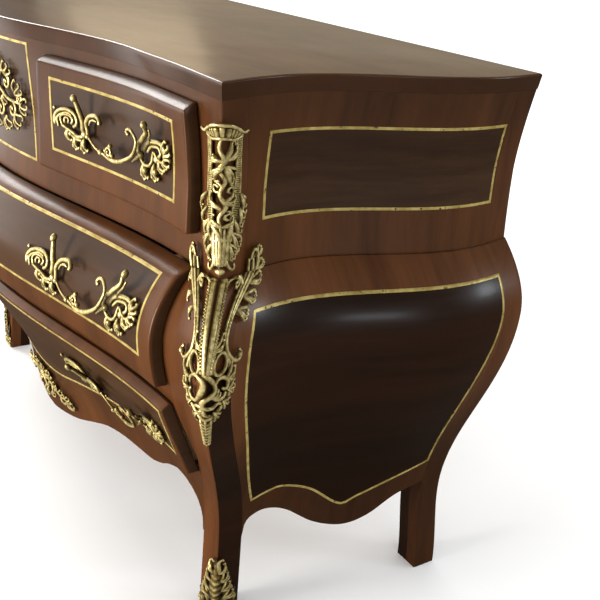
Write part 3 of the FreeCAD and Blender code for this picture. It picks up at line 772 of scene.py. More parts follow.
@dataclass(frozen=True)
class InnerWoodFinish(Finish):
    """Plain planed wood of the boards and drawer boxes."""

    grain: Grain
    dark: Colour = (116, 84, 54)
    light: Colour = (170, 134, 92)

    @property
    def name(self) -> str:
        """Name with the direction of the grain."""
        return "inner_wood_" + self.grain.name.lower()

    def sockets(self, tree: NodeTree) -> dict[str, object]:
        """What feeds the shader.

        Args:
            tree: Tree of the material.

        Returns:
            Values and sockets by input name.
        """
        stretched = tree.stretch(tree.place(), self.grain.value)
        inputs = {"Vector": stretched, "Dark": colour(self.dark), "Light": colour(self.light)}
        grain = tree.group("wood_grain", inputs)
        return {
            "Base Color": grain["Color"],
            "Roughness": tree.ramp(grain["Streak"], 0, 1, 0.75, 0.58),
            "Normal": tree.bump(0.15, 0.0008, grain["Height"]),
        }


@dataclass(frozen=True)
class GiltFinish(Finish):
    """Antique gilt brass, dark in the hollows and rubbed bright on the crests."""

    name: str = "antique_gilt"
    dirt: Colour = (36, 25, 10)
    metal: Colour = (128, 107, 48)
    rubbed: Colour = (226, 208, 146)

    def sockets(self, tree: NodeTree) -> dict[str, object]:
        """What feeds the shader.

        Args:
            tree: Tree of the material.

        Returns:
            Values and sockets by input name.
        """
        inputs = {
            "Vector": tree.place(),
            "Crest": tree.add("ShaderNodeAttribute", attribute_name="crest").outputs["Fac"],
            "Dirt": colour(self.dirt),
            "Metal": colour(self.metal),
            "Rubbed": colour(self.rubbed),
        }
        patina = tree.group("gilt_patina", inputs)
        return {
            "Base Color": patina["Color"],
            "Roughness": patina["Roughness"],
            "Metallic": patina["Metallic"],
            "Normal": tree.bump(0.25, 0.0006, patina["Height"]),
        }


@dataclass(frozen=True)
class StringingFinish(Finish):
    """Pale gold stringing with small dark specks along it."""

    name: str = "gold_stringing"
    gold: Colour = (150, 128, 64)
    bright: Colour = (190, 170, 102)
    speck: Colour = (72, 52, 24)

    def sockets(self, tree: NodeTree) -> dict[str, object]:
        """What feeds the shader.

        Args:
            tree: Tree of the material.

        Returns:
            Values and sockets by input name.
        """
        cloud = tree.ramp(tree.noise(tree.place(), 60.0, 3.0), 0.3, 0.7)
        gold = tree.mix(cloud, colour(self.gold), colour(self.bright))
        spots = tree.noise(tree.stretch(tree.veneer(), (140.0, 260.0, 1.0)), 1.0, 2.0)
        mask = tree.ramp(spots, 0.60, 0.70)
        return {
            "Base Color": tree.mix(mask, gold, colour(self.speck)),
            "Roughness": tree.ramp(mask, 0, 1, 0.34, 0.6),
            "Metallic": tree.ramp(mask, 0, 1, 0.3, 0.1),
            "Normal": tree.bump(0.3, 0.0005, spots),
        }


@dataclass(frozen=True)
class SteelFinish(Finish):
    """Plain steel of the handle bolts."""

    name: str = "bolt_steel"
    dull: Colour = (112, 108, 102)
    clear: Colour = (168, 165, 160)

    def sockets(self, tree: NodeTree) -> dict[str, object]:
        """What feeds the shader.

        Args:
            tree: Tree of the material.

        Returns:
            Values and sockets by input name.
        """
        cloud = tree.noise(tree.place(), 240.0, 4.0)
        return {
            "Base Color": tree.mix(cloud, colour(self.dull), colour(self.clear)),
            "Roughness": tree.ramp(cloud, 0.2, 0.8, 0.3, 0.5),
            "Metallic": 1.0,
        }


@dataclass(frozen=True)
class FloorFinish(Finish):
    """Pale floor, painted dark as seen in reflections, with a painted glow towards the horizon as the camera
    sees it.
    """

    name: str = "pale_floor"
    near: float = 1.3
    far: float = 3.2

    def sockets(self, tree: NodeTree) -> dict[str, object]:
        """What feeds the shader.

        Args:
            tree: Tree of the material.

        Returns:
            Values and sockets by input name.
        """
        place, ray = tree.place(), tree.add("ShaderNodeLightPath").outputs
        pale = tree.mix(tree.noise(place, 3.0), (0.9, 0.9, 0.9, 1), (0.94, 0.94, 0.94, 1))
        reach = tree.add("ShaderNodeVectorMath", {0: place}, operation="LENGTH").outputs["Value"]
        # Painted glow for camera rays that grows with distance and whitens the far floor and the lamp
        # shadows on it
        painted_glow = tree.math("MULTIPLY", tree.ramp(reach, self.near, self.far), ray["Is Camera Ray"])
        return {
            # Seen in reflections the floor is painted dark
            "Base Color": tree.mix(ray["Is Glossy Ray"], pale, (0.07, 0.06, 0.05, 1)),
            "Emission Color": tree.mix(painted_glow, (0, 0, 0, 1), (1, 1, 1, 1)),
            "Emission Strength": 0.4,
            "Roughness": 0.9,
            "Specular IOR Level": 0.1,
        }


class Workshop:
    """Finishes of the chest and the calls that dress a piece."""

    def __init__(self) -> None:
        """Build each finish once."""
        Effects()
        # Darker copy of the veneer as painted shade: its field colours darken the faces turned from the
        # light, and the shaded copy darkens further towards the floor
        leg = {"band": ((62, 32, 10), (98, 57, 25)), "field": ((24, 9, 0), (46, 22, 6))}
        top = {"band": ((74, 46, 27), (124, 90, 62)), "field": ((44, 24, 10), (72, 42, 20))}
        self.veneer = VeneerFinish().material()
        self.top = VeneerFinish("polished_top", **top, gloss=0.32, coat=0.5).material()
        self.shaded = VeneerFinish("shaded_veneer", **leg, low_painted_shade=0.6).material()
        self.leg = VeneerFinish("leg_veneer", **leg).material()
        self.gilt = GiltFinish().material()
        self.stringing = StringingFinish().material()
        self.steel = SteelFinish().material()
        self.inner = {grain: InnerWoodFinish(grain).material() for grain in Grain}

    def dress(self, piece: Thing, material: bpy.types.Material, body: str, slot: str, *nodes: str) -> None:
        """Give a piece its finish, its body and the solids that it stands for.

        Args:
            piece: Piece to dress.
            material: Finish.
            body: Body that the piece rides.
            slot: Material slot of the record; not used.
            *nodes: Solids that the piece replaces.
        """
        piece.data.materials.clear()
        piece.data.materials.append(material)
        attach(piece, body)
        if nodes:
            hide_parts(*nodes)
        LOG.info("%s on %s: %d faces", piece.name, body, len(piece.data.polygons))

    def dress_solids(self) -> None:
        """Give every solid that still shows its plain finish."""
        for name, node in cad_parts.items():
            if node.hide_render:
                continue
            finish = self.inner[Grain.ALONG_X]
            if name.endswith("_bolts"):
                finish = self.steel
            elif name.endswith(("_sides", "_guides")) or "divider" in name:
                finish = self.inner[Grain.ALONG_Y]
            node.data.materials.clear()
            node.data.materials.append(finish)


@dataclass(frozen=True)
class Panel:
    """Face with stringing: the form that it follows and the outline on its flat."""

    form: Form
    outline: np.ndarray


@dataclass(frozen=True)
class Outlines:
    """Outlines of the stringing on the flat of each face, in millimetres."""

    top_drawer: Points = ((262, 695), (554, 695), (554, 795), (256, 795))
    frieze: Points = ((-178, 657), (178, 657), (165, 829), (-165, 829))
    middle_drawer: Points = ((-558, 495), (558, 495), (558, 603), (-558, 603))
    bottom_half: Points = ((0, 229), (100, 240), (200, 268), (310, 293), (420, 307), (543, 320))
    bottom_upper: Points = ((566, 409), (-566, 409))
    side_upper: Points = ((-170, 680), (179, 680), (179, 790), (-170, 790))
    side_front: Points = ((-129, 212), (-175, 340), (-211, 449), (-217, 524), (-202, 576))
    side_rear: Points = ((180, 582), (180, 522), (168, 402), (181, 222))
    side_foot: Points = (
        (181, 222), (118, 199), (61, 173), (31, 162), (-25, 204), (-76, 224), (-102, 221), (-129, 212),
    )

    def panels(self) -> dict[str, Panel]:
        """Faces with stringing.

        Returns:
            Panels by name.
        """
        top, half = np.asarray(self.top_drawer, float), np.asarray(self.bottom_half, float)
        droop = smooth(np.vstack([half[:0:-1] * (-1, 1), half]), 60)
        curves = smooth(self.side_front, 24), smooth(self.side_rear, 24), smooth(self.side_foot, 40)[1:-1]
        return {
            "top_right_drawer": Panel(UPPER, top),
            "top_left_drawer": Panel(UPPER, top * (-1, 1)),
            "frieze": Panel(UPPER, np.asarray(self.frieze, float)),
            "middle_drawer": Panel(LOWER, np.asarray(self.middle_drawer, float)),
            "bottom_drawer": Panel(LOWER, np.vstack([droop, self.bottom_upper])),
            "side_upper": Panel(UPPER, np.asarray(self.side_upper, float)),
            "side_lower": Panel(LOWER, np.vstack(curves)),
        }


PANELS = Outlines().panels()


@dataclass
class Carcase:
    """Top, posts, sides, rails and frieze of the chest, in millimetres."""

    shop: Workshop
    carcase_top: float = 838.0
    top_gap: float = 0.15
    top_arris: float = 3.5
    top_edge_rings: int = 8
    post_inner: float = 580.0
    leg: float = 46.0
    post_side: float = 44.0
    arris: float = 6.0
    # Ring points from which the front and back posts take painted shade on their side and rear faces
    front_shade_from: int = 12
    back_post_inner: float = 564.0
    back_post_side: float = 44.0
    back_arris: float = 2.0
    back_shade_from: int = 9
    side_thickness: float = 18.0
    crease_gap: float = 0.05
    seam: float = 0.2
    wide_seam: float = 0.4
    column_step: float = 7.0
    row_step: float = 6.0
    top_rail_low: float = 813.0
    upper_rail_high: float = 672.0
    lower_rail: tuple[float, float] = (415.0, 468.0)
    rail_back: float = -205.0
    frieze_end: float = 230.0
    frieze_thickness: float = 20.0
    bottom_rail_back: float = -150.0
    bottom_rail_high: float = 303.0
    bottom_rail_edge: float = 1.0
    arch_foot: float = 140.0
    arch_toe: float = 3.0
    arch_crest: float = 210.0
    arch_end: float = 438.0
    apron_start: float = 150.0
    apron: Points = (
        (-137, 140), (-132, 166), (-118, 178), (-95, 181), (-60, 168),
        (-10, 133), (40, 119), (85, 130), (135, 160), (186, 173),
    )

    def build(self) -> None:
        """Make every piece of the carcase that shows."""
        self.top()
        self.front_frame()
        self.bottom_rail()
        for hand in Hand:
            self.posts(hand)
            self.sides(hand)

    def top(self) -> None:
        """Wooden top, flush with the flare, with its edge darkened as painted shade and a rounded arris."""
        straight = np.linspace(self.carcase_top + self.top_gap, UPPER.height - self.top_arris, 6)
        rings = [self.top_outline(z, 0.0) for z in straight]
        for angle in np.linspace(0, math.pi / 2, 6)[1:]:
            z = UPPER.height - self.top_arris * (1 - math.sin(angle))
            rings.append(self.top_outline(z, self.top_arris * (1 - math.cos(angle))))
        stack = np.stack(rings)
        # Rings of the edge take the dark field colours as painted shade
        stain_and_shade = np.where(np.arange(len(rings)) < self.top_edge_rings, PAINTED_SHADE, PLAIN)
        uv = stack.reshape(-1, 3)[:, [1, 0]]
        piece = tower("wooden_top", [stack], np.repeat(stain_and_shade, stack.shape[1]), uv)
        self.shop.dress(piece, self.shop.top, "carcase", "veneer_wood", "top_panel")

    @staticmethod
    def top_outline(z: float, inset: float) -> np.ndarray:
        """Plan of the body at a height near the top.

        Args:
            z: Height.
            inset: Distance in from the outline.

        Returns:
            Closed ring of points.
        """
        out, reach = UPPER.value(z, UPPER.front_out), UPPER.value(z, UPPER.reach)
        x = np.linspace(-out, out, 121)
        y = np.linspace(-reach, UPPER.back, 61)[1:]
        front = np.stack([x, UPPER.front(x, z) + inset], 1)
        right = np.stack([UPPER.side(y, z) - inset, y], 1)
        right[-1, 1] -= inset
        front[[0, -1], 0] += (inset, -inset)
        left = right[::-1] * (-1, 1)
        back_x = np.linspace(right[-1, 0], left[0, 0], 12)[1:-1]
        rear = np.stack([back_x, np.full_like(back_x, UPPER.back - inset)], 1)
        return at_level(np.vstack([front, right, rear, left]), z)

    def front_frame(self) -> None:
        """Rails and frieze panel, sawn to the serpentine and veneered over in one run."""
        for name, node, end, low, high in (
            ("top_rail_veneered", "top_rail", self.post_inner, self.top_rail_low, self.carcase_top),
            ("upper_rail_veneered", "upper_rail", self.post_inner, UPPER.crease, self.upper_rail_high),
            ("lower_rail_veneered", "lower_rail", self.post_inner, *self.lower_rail),
            ("frieze_board", "frieze_panel", self.frieze_end, self.upper_rail_high, self.top_rail_low),
        ):
            form = UPPER if low >= UPPER.crease else LOWER
            across = np.linspace(-end, end, int(2 * end / self.column_step))
            x, z = np.meshgrid(across, np.linspace(low, high, max(int((high - low) / self.row_step), 4)))
            y = form.front(x, z)
            back = y + self.frieze_thickness if node == "frieze_panel" else np.full_like(y, self.rail_back)
            face, rear = np.stack([x, y, z], -1), np.stack([x, back, z], -1)
            piece = board(name, face, rear, Along.FRONT, PANELS["frieze"].outline)
            self.shop.dress(piece, self.shop.veneer, "carcase", "veneer_wood", node)

    def inner_edge(self, form: Form, z: np.ndarray) -> np.ndarray:
        """X of the inner edge of a front post at each height."""
        return np.minimum(self.post_inner, form.value(z, form.front_out) - self.leg)

    def bottom_rail(self) -> None:
        """Rail under the bottom drawer with the arches beside the legs."""
        toe = self.inner_edge(LOWER, self.arch_foot) - self.arch_toe
        corners = ((toe, self.arch_foot), (toe, self.arch_crest), (self.arch_end, self.arch_crest))
        arch_x, arch_z = arc(*np.array(corners), np.linspace(0, 1, 30)[::-1, None]).T
        ends = np.linspace(0.82, 1, 40)
        share = np.concatenate([-ends[::-1], np.linspace(-0.81, 0.81, 120), ends])
        low = np.full_like(share, self.arch_crest)
        for _ in range(12):
            x = np.abs(share) * (self.inner_edge(LOWER, low) - self.wide_seam)
            low = np.interp(x, arch_x, arch_z, left=self.arch_crest, right=self.arch_foot)
        z = low + (self.bottom_rail_high - low) * np.linspace(0, 1, 26)[:, None]
        x = share * (self.inner_edge(LOWER, z) - self.wide_seam)
        face = np.stack([x, LOWER.front(x, z), z], -1)
        rear = np.stack([x, np.full_like(x, self.bottom_rail_back), z], -1)
        piece = board("bottom_rail_arched", face, rear, Along.FRONT, bevel=self.bottom_rail_edge)
        self.shop.dress(piece, self.shop.veneer, "carcase", "veneer_wood", "bottom_rail")

    def front_ring(self, form: Form, z: float) -> np.ndarray:
        """Plan of the right front post.

        Args:
            form: Form on one side of the crease.
            z: Height.

        Returns:
            Closed ring of flat points.
        """
        out, reach = form.value(z, form.front_out), form.value(z, form.reach)
        inner = self.inner_edge(form, z)
        x = np.linspace(inner, out - self.arris, 9)
        y = np.linspace(self.arris - reach, self.post_side - reach, 9)
        front = np.stack([x, form.front(x, z)], 1)
        side = np.stack([form.side(y, z), y], 1)
        turn = arc(front[-1], np.array([out, -reach]), side[0], np.linspace(0, 1, 7)[1:-1, None])
        return np.vstack([front, turn, side, [[inner, self.post_side - reach]]])

    def back_ring(self, form: Form, z: float) -> np.ndarray:
        """Plan of the right back post.

        Args:
            form: Form on one side of the crease.
            z: Height.

        Returns:
            Closed ring of flat points.
        """
        out, front_y = form.value(z, form.back_out), form.back - self.back_post_side
        inner = min(self.back_post_inner, out - self.leg)
        y = np.linspace(front_y, form.back - self.back_arris, 9)
        side = np.stack([form.side(y, z), y], 1)
        return np.vstack([side, [[out - self.back_arris, form.back], [inner, form.back], [inner, front_y]]])

    def posts(self, hand: Hand) -> None:
        """Posts of one side, each in one piece with its leg, in two stacks that meet at the crease.

        Args:
            hand: Side of the chest.
        """
        foot = np.linspace(0, LOWER.ankle, 22)
        shin = np.linspace(LOWER.ankle + self.row_step, LOWER.crease, 70)
        neck = np.linspace(UPPER.crease + self.crease_gap, self.carcase_top, 40)
        for end, ring, finish, shade_from, shade_to in (
            ("front", self.front_ring, self.shop.leg, self.front_shade_from, LOWER.bulge),
            ("back", self.back_ring, self.shop.shaded, self.back_shade_from, LOWER.height),
        ):
            stacks = [
                hand.mirror(np.stack([at_level(ring(form, z), z) for z in levels]))
                for form, levels in ((LOWER, np.append(foot, shin)), (UPPER, neck))
            ]
            x, y, z = np.vstack([stack.reshape(-1, 3) for stack in stacks]).T
            turned = np.arange(len(z)) % stacks[0].shape[1]
            # Side and rear faces below a set height take the dark field colours as painted shade
            stain_and_shade = np.where((turned >= shade_from) & (z < shade_to), PAINTED_SHADE, PLAIN)
            piece = tower(f"{end}_leg_post_{hand.side}", stacks, stain_and_shade, np.stack([x + y, z], 1))
            self.shop.dress(piece, finish, "carcase", "veneer_wood", f"{end}_post_{hand.side}")

    def side_y(self, form: Form, z: np.ndarray, share: np.ndarray) -> np.ndarray:
        """Places along the side between the posts.

        Args:
            form: Form on one side of the crease.
            z: Heights.
            share: Shares of the way from the front post to the back post.

        Returns:
            Y of each place.
        """
        start = self.post_side + self.seam - form.value(z, form.reach)
        stop = form.back - self.back_post_side - self.seam
        return start + (stop - start) * share

    def sides(self, hand: Hand) -> None:
        """Boards of one side above and below the crease, the lower one with its shaped apron.

        Args:
            hand: Side of the chest.
        """
        levels = np.linspace(UPPER.crease + self.crease_gap, self.carcase_top, 40)[:, None]
        upper = self.side_y(UPPER, levels, np.linspace(0, 1, 64))
        apron = smooth(self.apron, 120)
        share = np.linspace(0, 1, 80)
        low = np.full_like(share, self.apron_start)
        for _ in range(15):
            low = np.interp(self.side_y(LOWER, low, share), *apron.T)
        high = LOWER.crease - self.wide_seam
        lower_z = low + (high - low) * np.linspace(0, 1, 90)[:, None]
        lower = self.side_y(LOWER, lower_z, share)
        for name, y, z, finish in (
            ("side_upper", upper, levels + 0 * upper, self.shop.veneer),
            ("side_lower", lower, lower_z, self.shop.shaded),
        ):
            panel = PANELS[name]
            x = panel.form.side(y, z)
            face, rear = (hand.mirror(np.stack([x - deep, y, z], -1)) for deep in (0, self.side_thickness))
            piece = board(f"{name}_{hand.side}", face, rear, Along.SIDE, panel.outline)
            self.shop.dress(piece, finish, "carcase", "veneer_wood", f"{name}_panel_{hand.side}")


@dataclass
class DrawerFronts:
    """Drawer fronts that lie over the face of the carcase, in millimetres."""

    shop: Workshop
    face_gap: float = 1.0
    start: float = 222.3
    end: float = 588.0
    top_levels: tuple[float, float] = (662.0, 823.0)
    middle_levels: tuple[float, float] = (458.0, 618.0)
    bottom_end: float = 580.0
    bottom_tip: float = 556.0
    bottom_low: float = 290.0
    bottom_high: float = 425.0
    column_step: float = 7.0
    edge: float = 2.0
    slope_down: float = 9.0
    slope_back: float = 14.0
    apron: Points = (
        (0, 128), (28, 129), (115, 148), (180, 172), (232, 191), (284, 200),
        (334, 201), (380, 204), (420, 220), (452, 239), (515, 270), (556, 288),
    )

    def build(self) -> None:
        """Make the four fronts."""
        for body, left, right, (low, high) in (
            ("top_right_drawer", self.start, self.end, self.top_levels),
            ("top_left_drawer", -self.end, -self.start, self.top_levels),
            ("middle_drawer", -self.end, self.end, self.middle_levels),
        ):
            across = np.linspace(left, right, int((right - left) / self.column_step))
            up = np.append(np.linspace(low, high - self.slope_down, 27), high)
            self.front(body, *np.meshgrid(across, up))
        self.bottom_front()

    def front(self, body: str, x: np.ndarray, z: np.ndarray) -> None:
        """Front with a sloped upper edge and a back that runs along the carcase.

        Args:
            body: Body of the drawer.
            x: Grid of places along the front.
            z: Grid of heights.
        """
        panel = PANELS[body]
        y = panel.form.front(x, z)
        slope = self.slope_back * np.clip((z - z.max(0)) / self.slope_down + 1, 0, 1)
        face = np.stack([x, y - DRAWER_PROUD + slope, z], -1)
        rear = np.stack([x, y - self.face_gap, z], -1)
        piece = board(body + "_veneered_front", face, rear, Along.FRONT, panel.outline, self.edge)
        self.shop.dress(piece, self.shop.veneer, body, "veneer_wood", body + "_front")

    def bottom_front(self) -> None:
        """Bottom front, drawn in towards the legs, with the shaped apron below it."""
        share = np.linspace(-1, 1, 180)
        low = np.interp(np.abs(share) * self.bottom_tip, *smooth(self.apron, 200).T)
        z = low + (self.bottom_high - self.slope_down - low) * np.linspace(0, 1, 43)[:, None]
        z = np.vstack([z, np.full_like(low, self.bottom_high)])
        taper = np.clip((z - self.bottom_low) / (self.bottom_high - self.bottom_low), 0, 1)
        x = share * (self.bottom_tip + (self.bottom_end - self.bottom_tip) * taper)
        self.front("bottom_drawer", x, z)


@dataclass
class Stringing:
    """Thin gold bands let into the veneer, in millimetres."""

    shop: Workshop
    width: float = 4.4
    height: float = 0.7
    step: float = 4.0
    offset_shares: Row = (-0.5, -0.42, 0.0, 0.42, 0.5)
    lift_shares: Row = (-0.4, 0.8, 1.0, 0.8, -0.4)

    def build(self) -> None:
        """Lay every band."""
        for name, panel in PANELS.items():
            if not name.startswith("side"):
                body, proud = ("carcase", 0.0) if name == "frieze" else (name, DRAWER_PROUD)
                placed = panel.form.front_place(*self.strip(panel.outline)) - (0, proud, 0)
                self.band(name + "_stringing", body, placed, panel.outline)
        for hand in Hand:
            for name in ("side_upper", "side_lower"):
                panel = PANELS[name]
                placed = hand.mirror(panel.form.side_place(*self.strip(panel.outline)))
                self.band(f"{name}_stringing_{hand.side}", "carcase", placed, panel.outline)

    def line(self, outline: np.ndarray) -> np.ndarray:
        """Points at even steps along each edge of a closed outline.

        Args:
            outline: Corners of the outline.

        Returns:
            Points, one row each.
        """
        points = []
        for a, b in zip(outline, np.roll(outline, -1, 0)):
            count = max(int(np.linalg.norm(b - a) / self.step), 1)
            points += [a + (b - a) * k / count for k in range(count)]
        return np.asarray(points)

    def strip(self, outline: np.ndarray) -> Grids:
        """Flat band along a closed outline, mitred at its corners.

        Args:
            outline: Corners of the outline.

        Returns:
            Place along the face, height and lift of each band point, by row and column.
        """
        line = self.line(outline)
        before, after = unit(line - np.roll(line, 1, 0)), unit(np.roll(line, -1, 0) - line)
        square = np.stack([-after[:, 1], after[:, 0]], 1)
        across = np.stack([-(before + after)[:, 1], (before + after)[:, 0]], 1)
        across /= np.maximum((across * square).sum(1, keepdims=True), 0.3)
        offsets = np.array(self.offset_shares) * self.width
        flat = line[:, None, :] + across[:, None, :] * offsets[:, None]
        lift = np.broadcast_to(np.array(self.lift_shares) * self.height, flat.shape[:2])
        return flat[..., 0], flat[..., 1], lift

    def band(self, name: str, body: str, points: np.ndarray, outline: np.ndarray) -> None:
        """Closed band from its placed points.

        Args:
            name: Name of the piece.
            body: Body that it rides.
            points: Points by row and column.
            outline: Corners of the outline.
        """
        rows, columns = points.shape[:2]
        steps = np.linalg.norm(np.diff(self.line(outline), axis=0), axis=1)
        along = np.repeat(np.append(0, np.cumsum(steps)), columns)
        across = np.tile(np.linspace(0, self.width, columns), rows)
        faces = grid_faces(rows, columns, wrap=True, closed=True)
        piece = solid(name, points.reshape(-1, 3), faces, None, np.stack([along, across], 1), sharp=60)
        self.shop.dress(piece, self.shop.stringing, body, "gilt_brass")


@dataclass
class Relief:
    """Cast ornament gathered on the flat as (u, v, w), in millimetres, before it is laid on a face."""

    points: list[np.ndarray] = field(default_factory=list)
    faces: Faces = field(default_factory=list)
    crests: list[np.ndarray] = field(default_factory=list)
    step: float = 3.0

    def put(self, points: np.ndarray, faces: Faces, crest: np.ndarray) -> None:
        """Add one closed form.

        Args:
            points: Points, one row each.
            faces: Corners of each face, counted from its own first point.
            crest: Share of height of each point, from hollow to crest.
        """
        start = sum(map(len, self.points))
        self.points.append(points)
        self.faces += [tuple(corner + start for corner in face) for face in faces]
        self.crests.append(crest)

    def stroke(
        self,
        points: Points,
        radius: float | Sequence[float],
        sign: int = 1,
        w: float = 5.0,
        flat: float = 0.9,
        sides: int = 8,
        closed: bool = False,
    ) -> None:
        """Rounded stem along a curve.

        Args:
            points: Points that the stem runs through, as (u, v) or (u, v, w).
            radius: Radius, or radii spread evenly along it.
            sign: Side of the middle that it lies on.
            w: Height of points that give none.
            flat: Height against width.
            sides: Points round the stem.
            closed: Whether it runs back to its start.
        """
        path = np.asarray(points, float)
        if path.shape[1] == 2:
            path = at_level(path, w)
        path = path * (sign, 1, 1)
        count = int(max(np.linalg.norm(np.diff(path, axis=0), axis=1).sum() / self.step, 6))
        line = smooth(path, count, closed)
        radii = np.atleast_1d(np.asarray(radius, float))
        size = np.interp(np.linspace(0, 1, count), np.linspace(0, 1, len(radii)), radii)
        run = np.roll(line, -1, 0) - np.roll(line, 1, 0)
        if not closed:
            run[0], run[-1] = line[1] - line[0], line[-1] - line[-2]
        run = unit(run)
        across = unit(np.cross((0, 0, 1), run))
        lift = np.cross(run, across)
        angle = np.linspace(0, 2 * np.pi, sides, endpoint=False)
        spokes = np.cos(angle)[:, None] * across[:, None] + flat * np.sin(angle)[:, None] * lift[:, None]
        verts = (line[:, None] + spokes * size[:, None, None]).reshape(-1, 3)
        crest = np.tile(0.5 + 0.5 * np.sin(angle), count)
        faces = grid_faces(count, sides, wrap=True, closed=closed)
        if not closed:
            verts = np.vstack([verts, line[0] - run[0] * size[0] * 0.7, line[-1] + run[-1] * size[-1] * 0.7])
            crest = np.append(crest, (0.6, 0.6))
            first, last = count * sides, (count - 1) * sides
            for k in range(sides):
                after = (k + 1) % sides
                faces += [(first, after, k), (first + 1, last + k, last + after)]
        self.put(verts, faces, crest)

    def leaf(
        self, points: Points, width: float, lobes: int, crown: float, sign: int = 1, cut: float = 0.45
    ) -> None:
        """Acanthus leaf with a raised rib and lobed edges.

        Args:
            points: Points along the rib from stalk to tip.
            width: Widest half width.
            lobes: Lobes on each edge.
            crown: Height of the rib over the edge.
            sign: Side of the middle that it lies on.
            cut: Depth of the cuts between the lobes as a share of the width.
        """
        rows, columns, base = 6 * lobes + 3, 9, 0.8
        line = smooth(np.asarray(points, float) * (sign, 1, 1), rows)
        t, c = np.linspace(0, 1, rows)[:, None], np.linspace(-1, 1, columns)
        run = unit(np.gradient(line, axis=0))
        across = unit(np.cross((0, 0, 1), run))
        body = np.sin(np.pi * np.clip(0.06 + 0.94 * t, 0, 1) ** 0.75) ** 0.8
        tooth = np.abs(np.sin(np.pi * lobes * t))
        half = width * np.maximum(body * (1 - cut + cut * tooth), 0.04)
        slant = 0.35 * half * np.abs(c) ** 1.5
        rib = (1 - np.abs(c) ** 1.4) * (0.35 + 0.65 * body)
        height = np.maximum(rib + 0.22 * (tooth - 0.5) * np.abs(c), 0.05)
        low = line[:, None] + across[:, None] * (half * c)[..., None] + run[:, None] * slant[..., None]
        top = low.copy()
        top[..., 2] += crown * height
        low[..., 2] -= base
        shade = np.clip(height * (0.55 + 0.45 * tooth), 0, 1)
        verts = np.vstack([top.reshape(-1, 3), low.reshape(-1, 3)])
        self.put(verts, board_faces(rows, columns), np.append(shade, np.zeros(rows * columns)))

    def balls(self, *balls: Sequence[float], flat: float = 1.0) -> None:
        """Round bosses.

        Args:
            *balls: Middle and radius of each.
            flat: Height against width.
        """
        rows, sides = 7, 12
        tilt = np.linspace(0, np.pi, rows)[:, None]
        turn = np.linspace(0, 2 * np.pi, sides, endpoint=False)
        ring = np.maximum(np.sin(tilt), 0.02)
        sphere = np.stack([ring * np.cos(turn), ring * np.sin(turn), flat * np.cos(tilt) + 0 * turn], -1)
        crest = np.repeat(0.55 + 0.45 * np.cos(tilt), sides)
        faces = grid_faces(rows, sides, wrap=True)
        faces += [tuple(range(sides - 1, -1, -1)), tuple(range((rows - 1) * sides, rows * sides))]
        for *centre, radius in balls:
            self.put(sphere.reshape(-1, 3) * radius + centre, faces, crest)

    def scroll(
        self, centre: Sequence[float], start: float, turns: float, outer: float, inner: float, radius: Row
    ) -> None:
        """Volute that winds in to its eye.

        Args:
            centre: Middle of the volute.
            start: Angle of its outer end in degrees.
            turns: Number of turns, below zero to wind clockwise.
            outer: Outer radius.
            inner: Radius at the eye.
            radius: Radii of the stem from the outer end to the eye.
        """
        t = np.linspace(0, 1, 14)
        angle = math.radians(start) + 2 * np.pi * turns * t
        far = outer + (inner - outer) * t**0.8
        spiral = np.stack([far * np.cos(angle), far * np.sin(angle), 2.0 * t], 1)
        self.stroke(spiral + centre, radius)

    def fans(self, *sprays: Row, sign: int = 1, radius: float = 2.2, tip: float = 6.0) -> None:
        """Fans of three curled blades.

        Args:
            *sprays: Root and three tips of each fan, as u and v in turn.
            sign: Side of the middle that they lie on.
            radius: Widest radius of a blade.
            tip: Height of the tips.
        """
        root_height = 5.0
        curl = ((0, 0, 0), (0.5, 0.1, 3), (0.85, 0.12, 0), (1, -0.03, 0), (0.88, -0.12, 0))
        taper_shares = np.array((0.8, 1.0, 0.95, 0.9, 0.8))
        for spray in sprays:
            root, *tips = np.reshape(spray, (4, 2)) * (sign, 1)
            start = np.append(root, root_height)
            for index, end in enumerate(tips):
                run = np.append(end, tip) - start
                bend = np.array([-run[1], run[0], 0]) * (-1 if index else 1)
                path = [start + far * run + aside * bend + (0, 0, lift) for far, aside, lift in curl]
                self.stroke(path, taper_shares * radius, sides=6)

    def piece(self, name: str, place: Place) -> Thing:
        """Lay the ornament on a face and make it one piece.

        Args:
            name: Name of the piece.
            place: Function from flat points to placed points.

        Returns:
            The new object.
        """
        values = {"crest": np.concatenate(self.crests)}
        return solid(name, place(np.vstack(self.points)), self.faces, values, sharp=55.0)


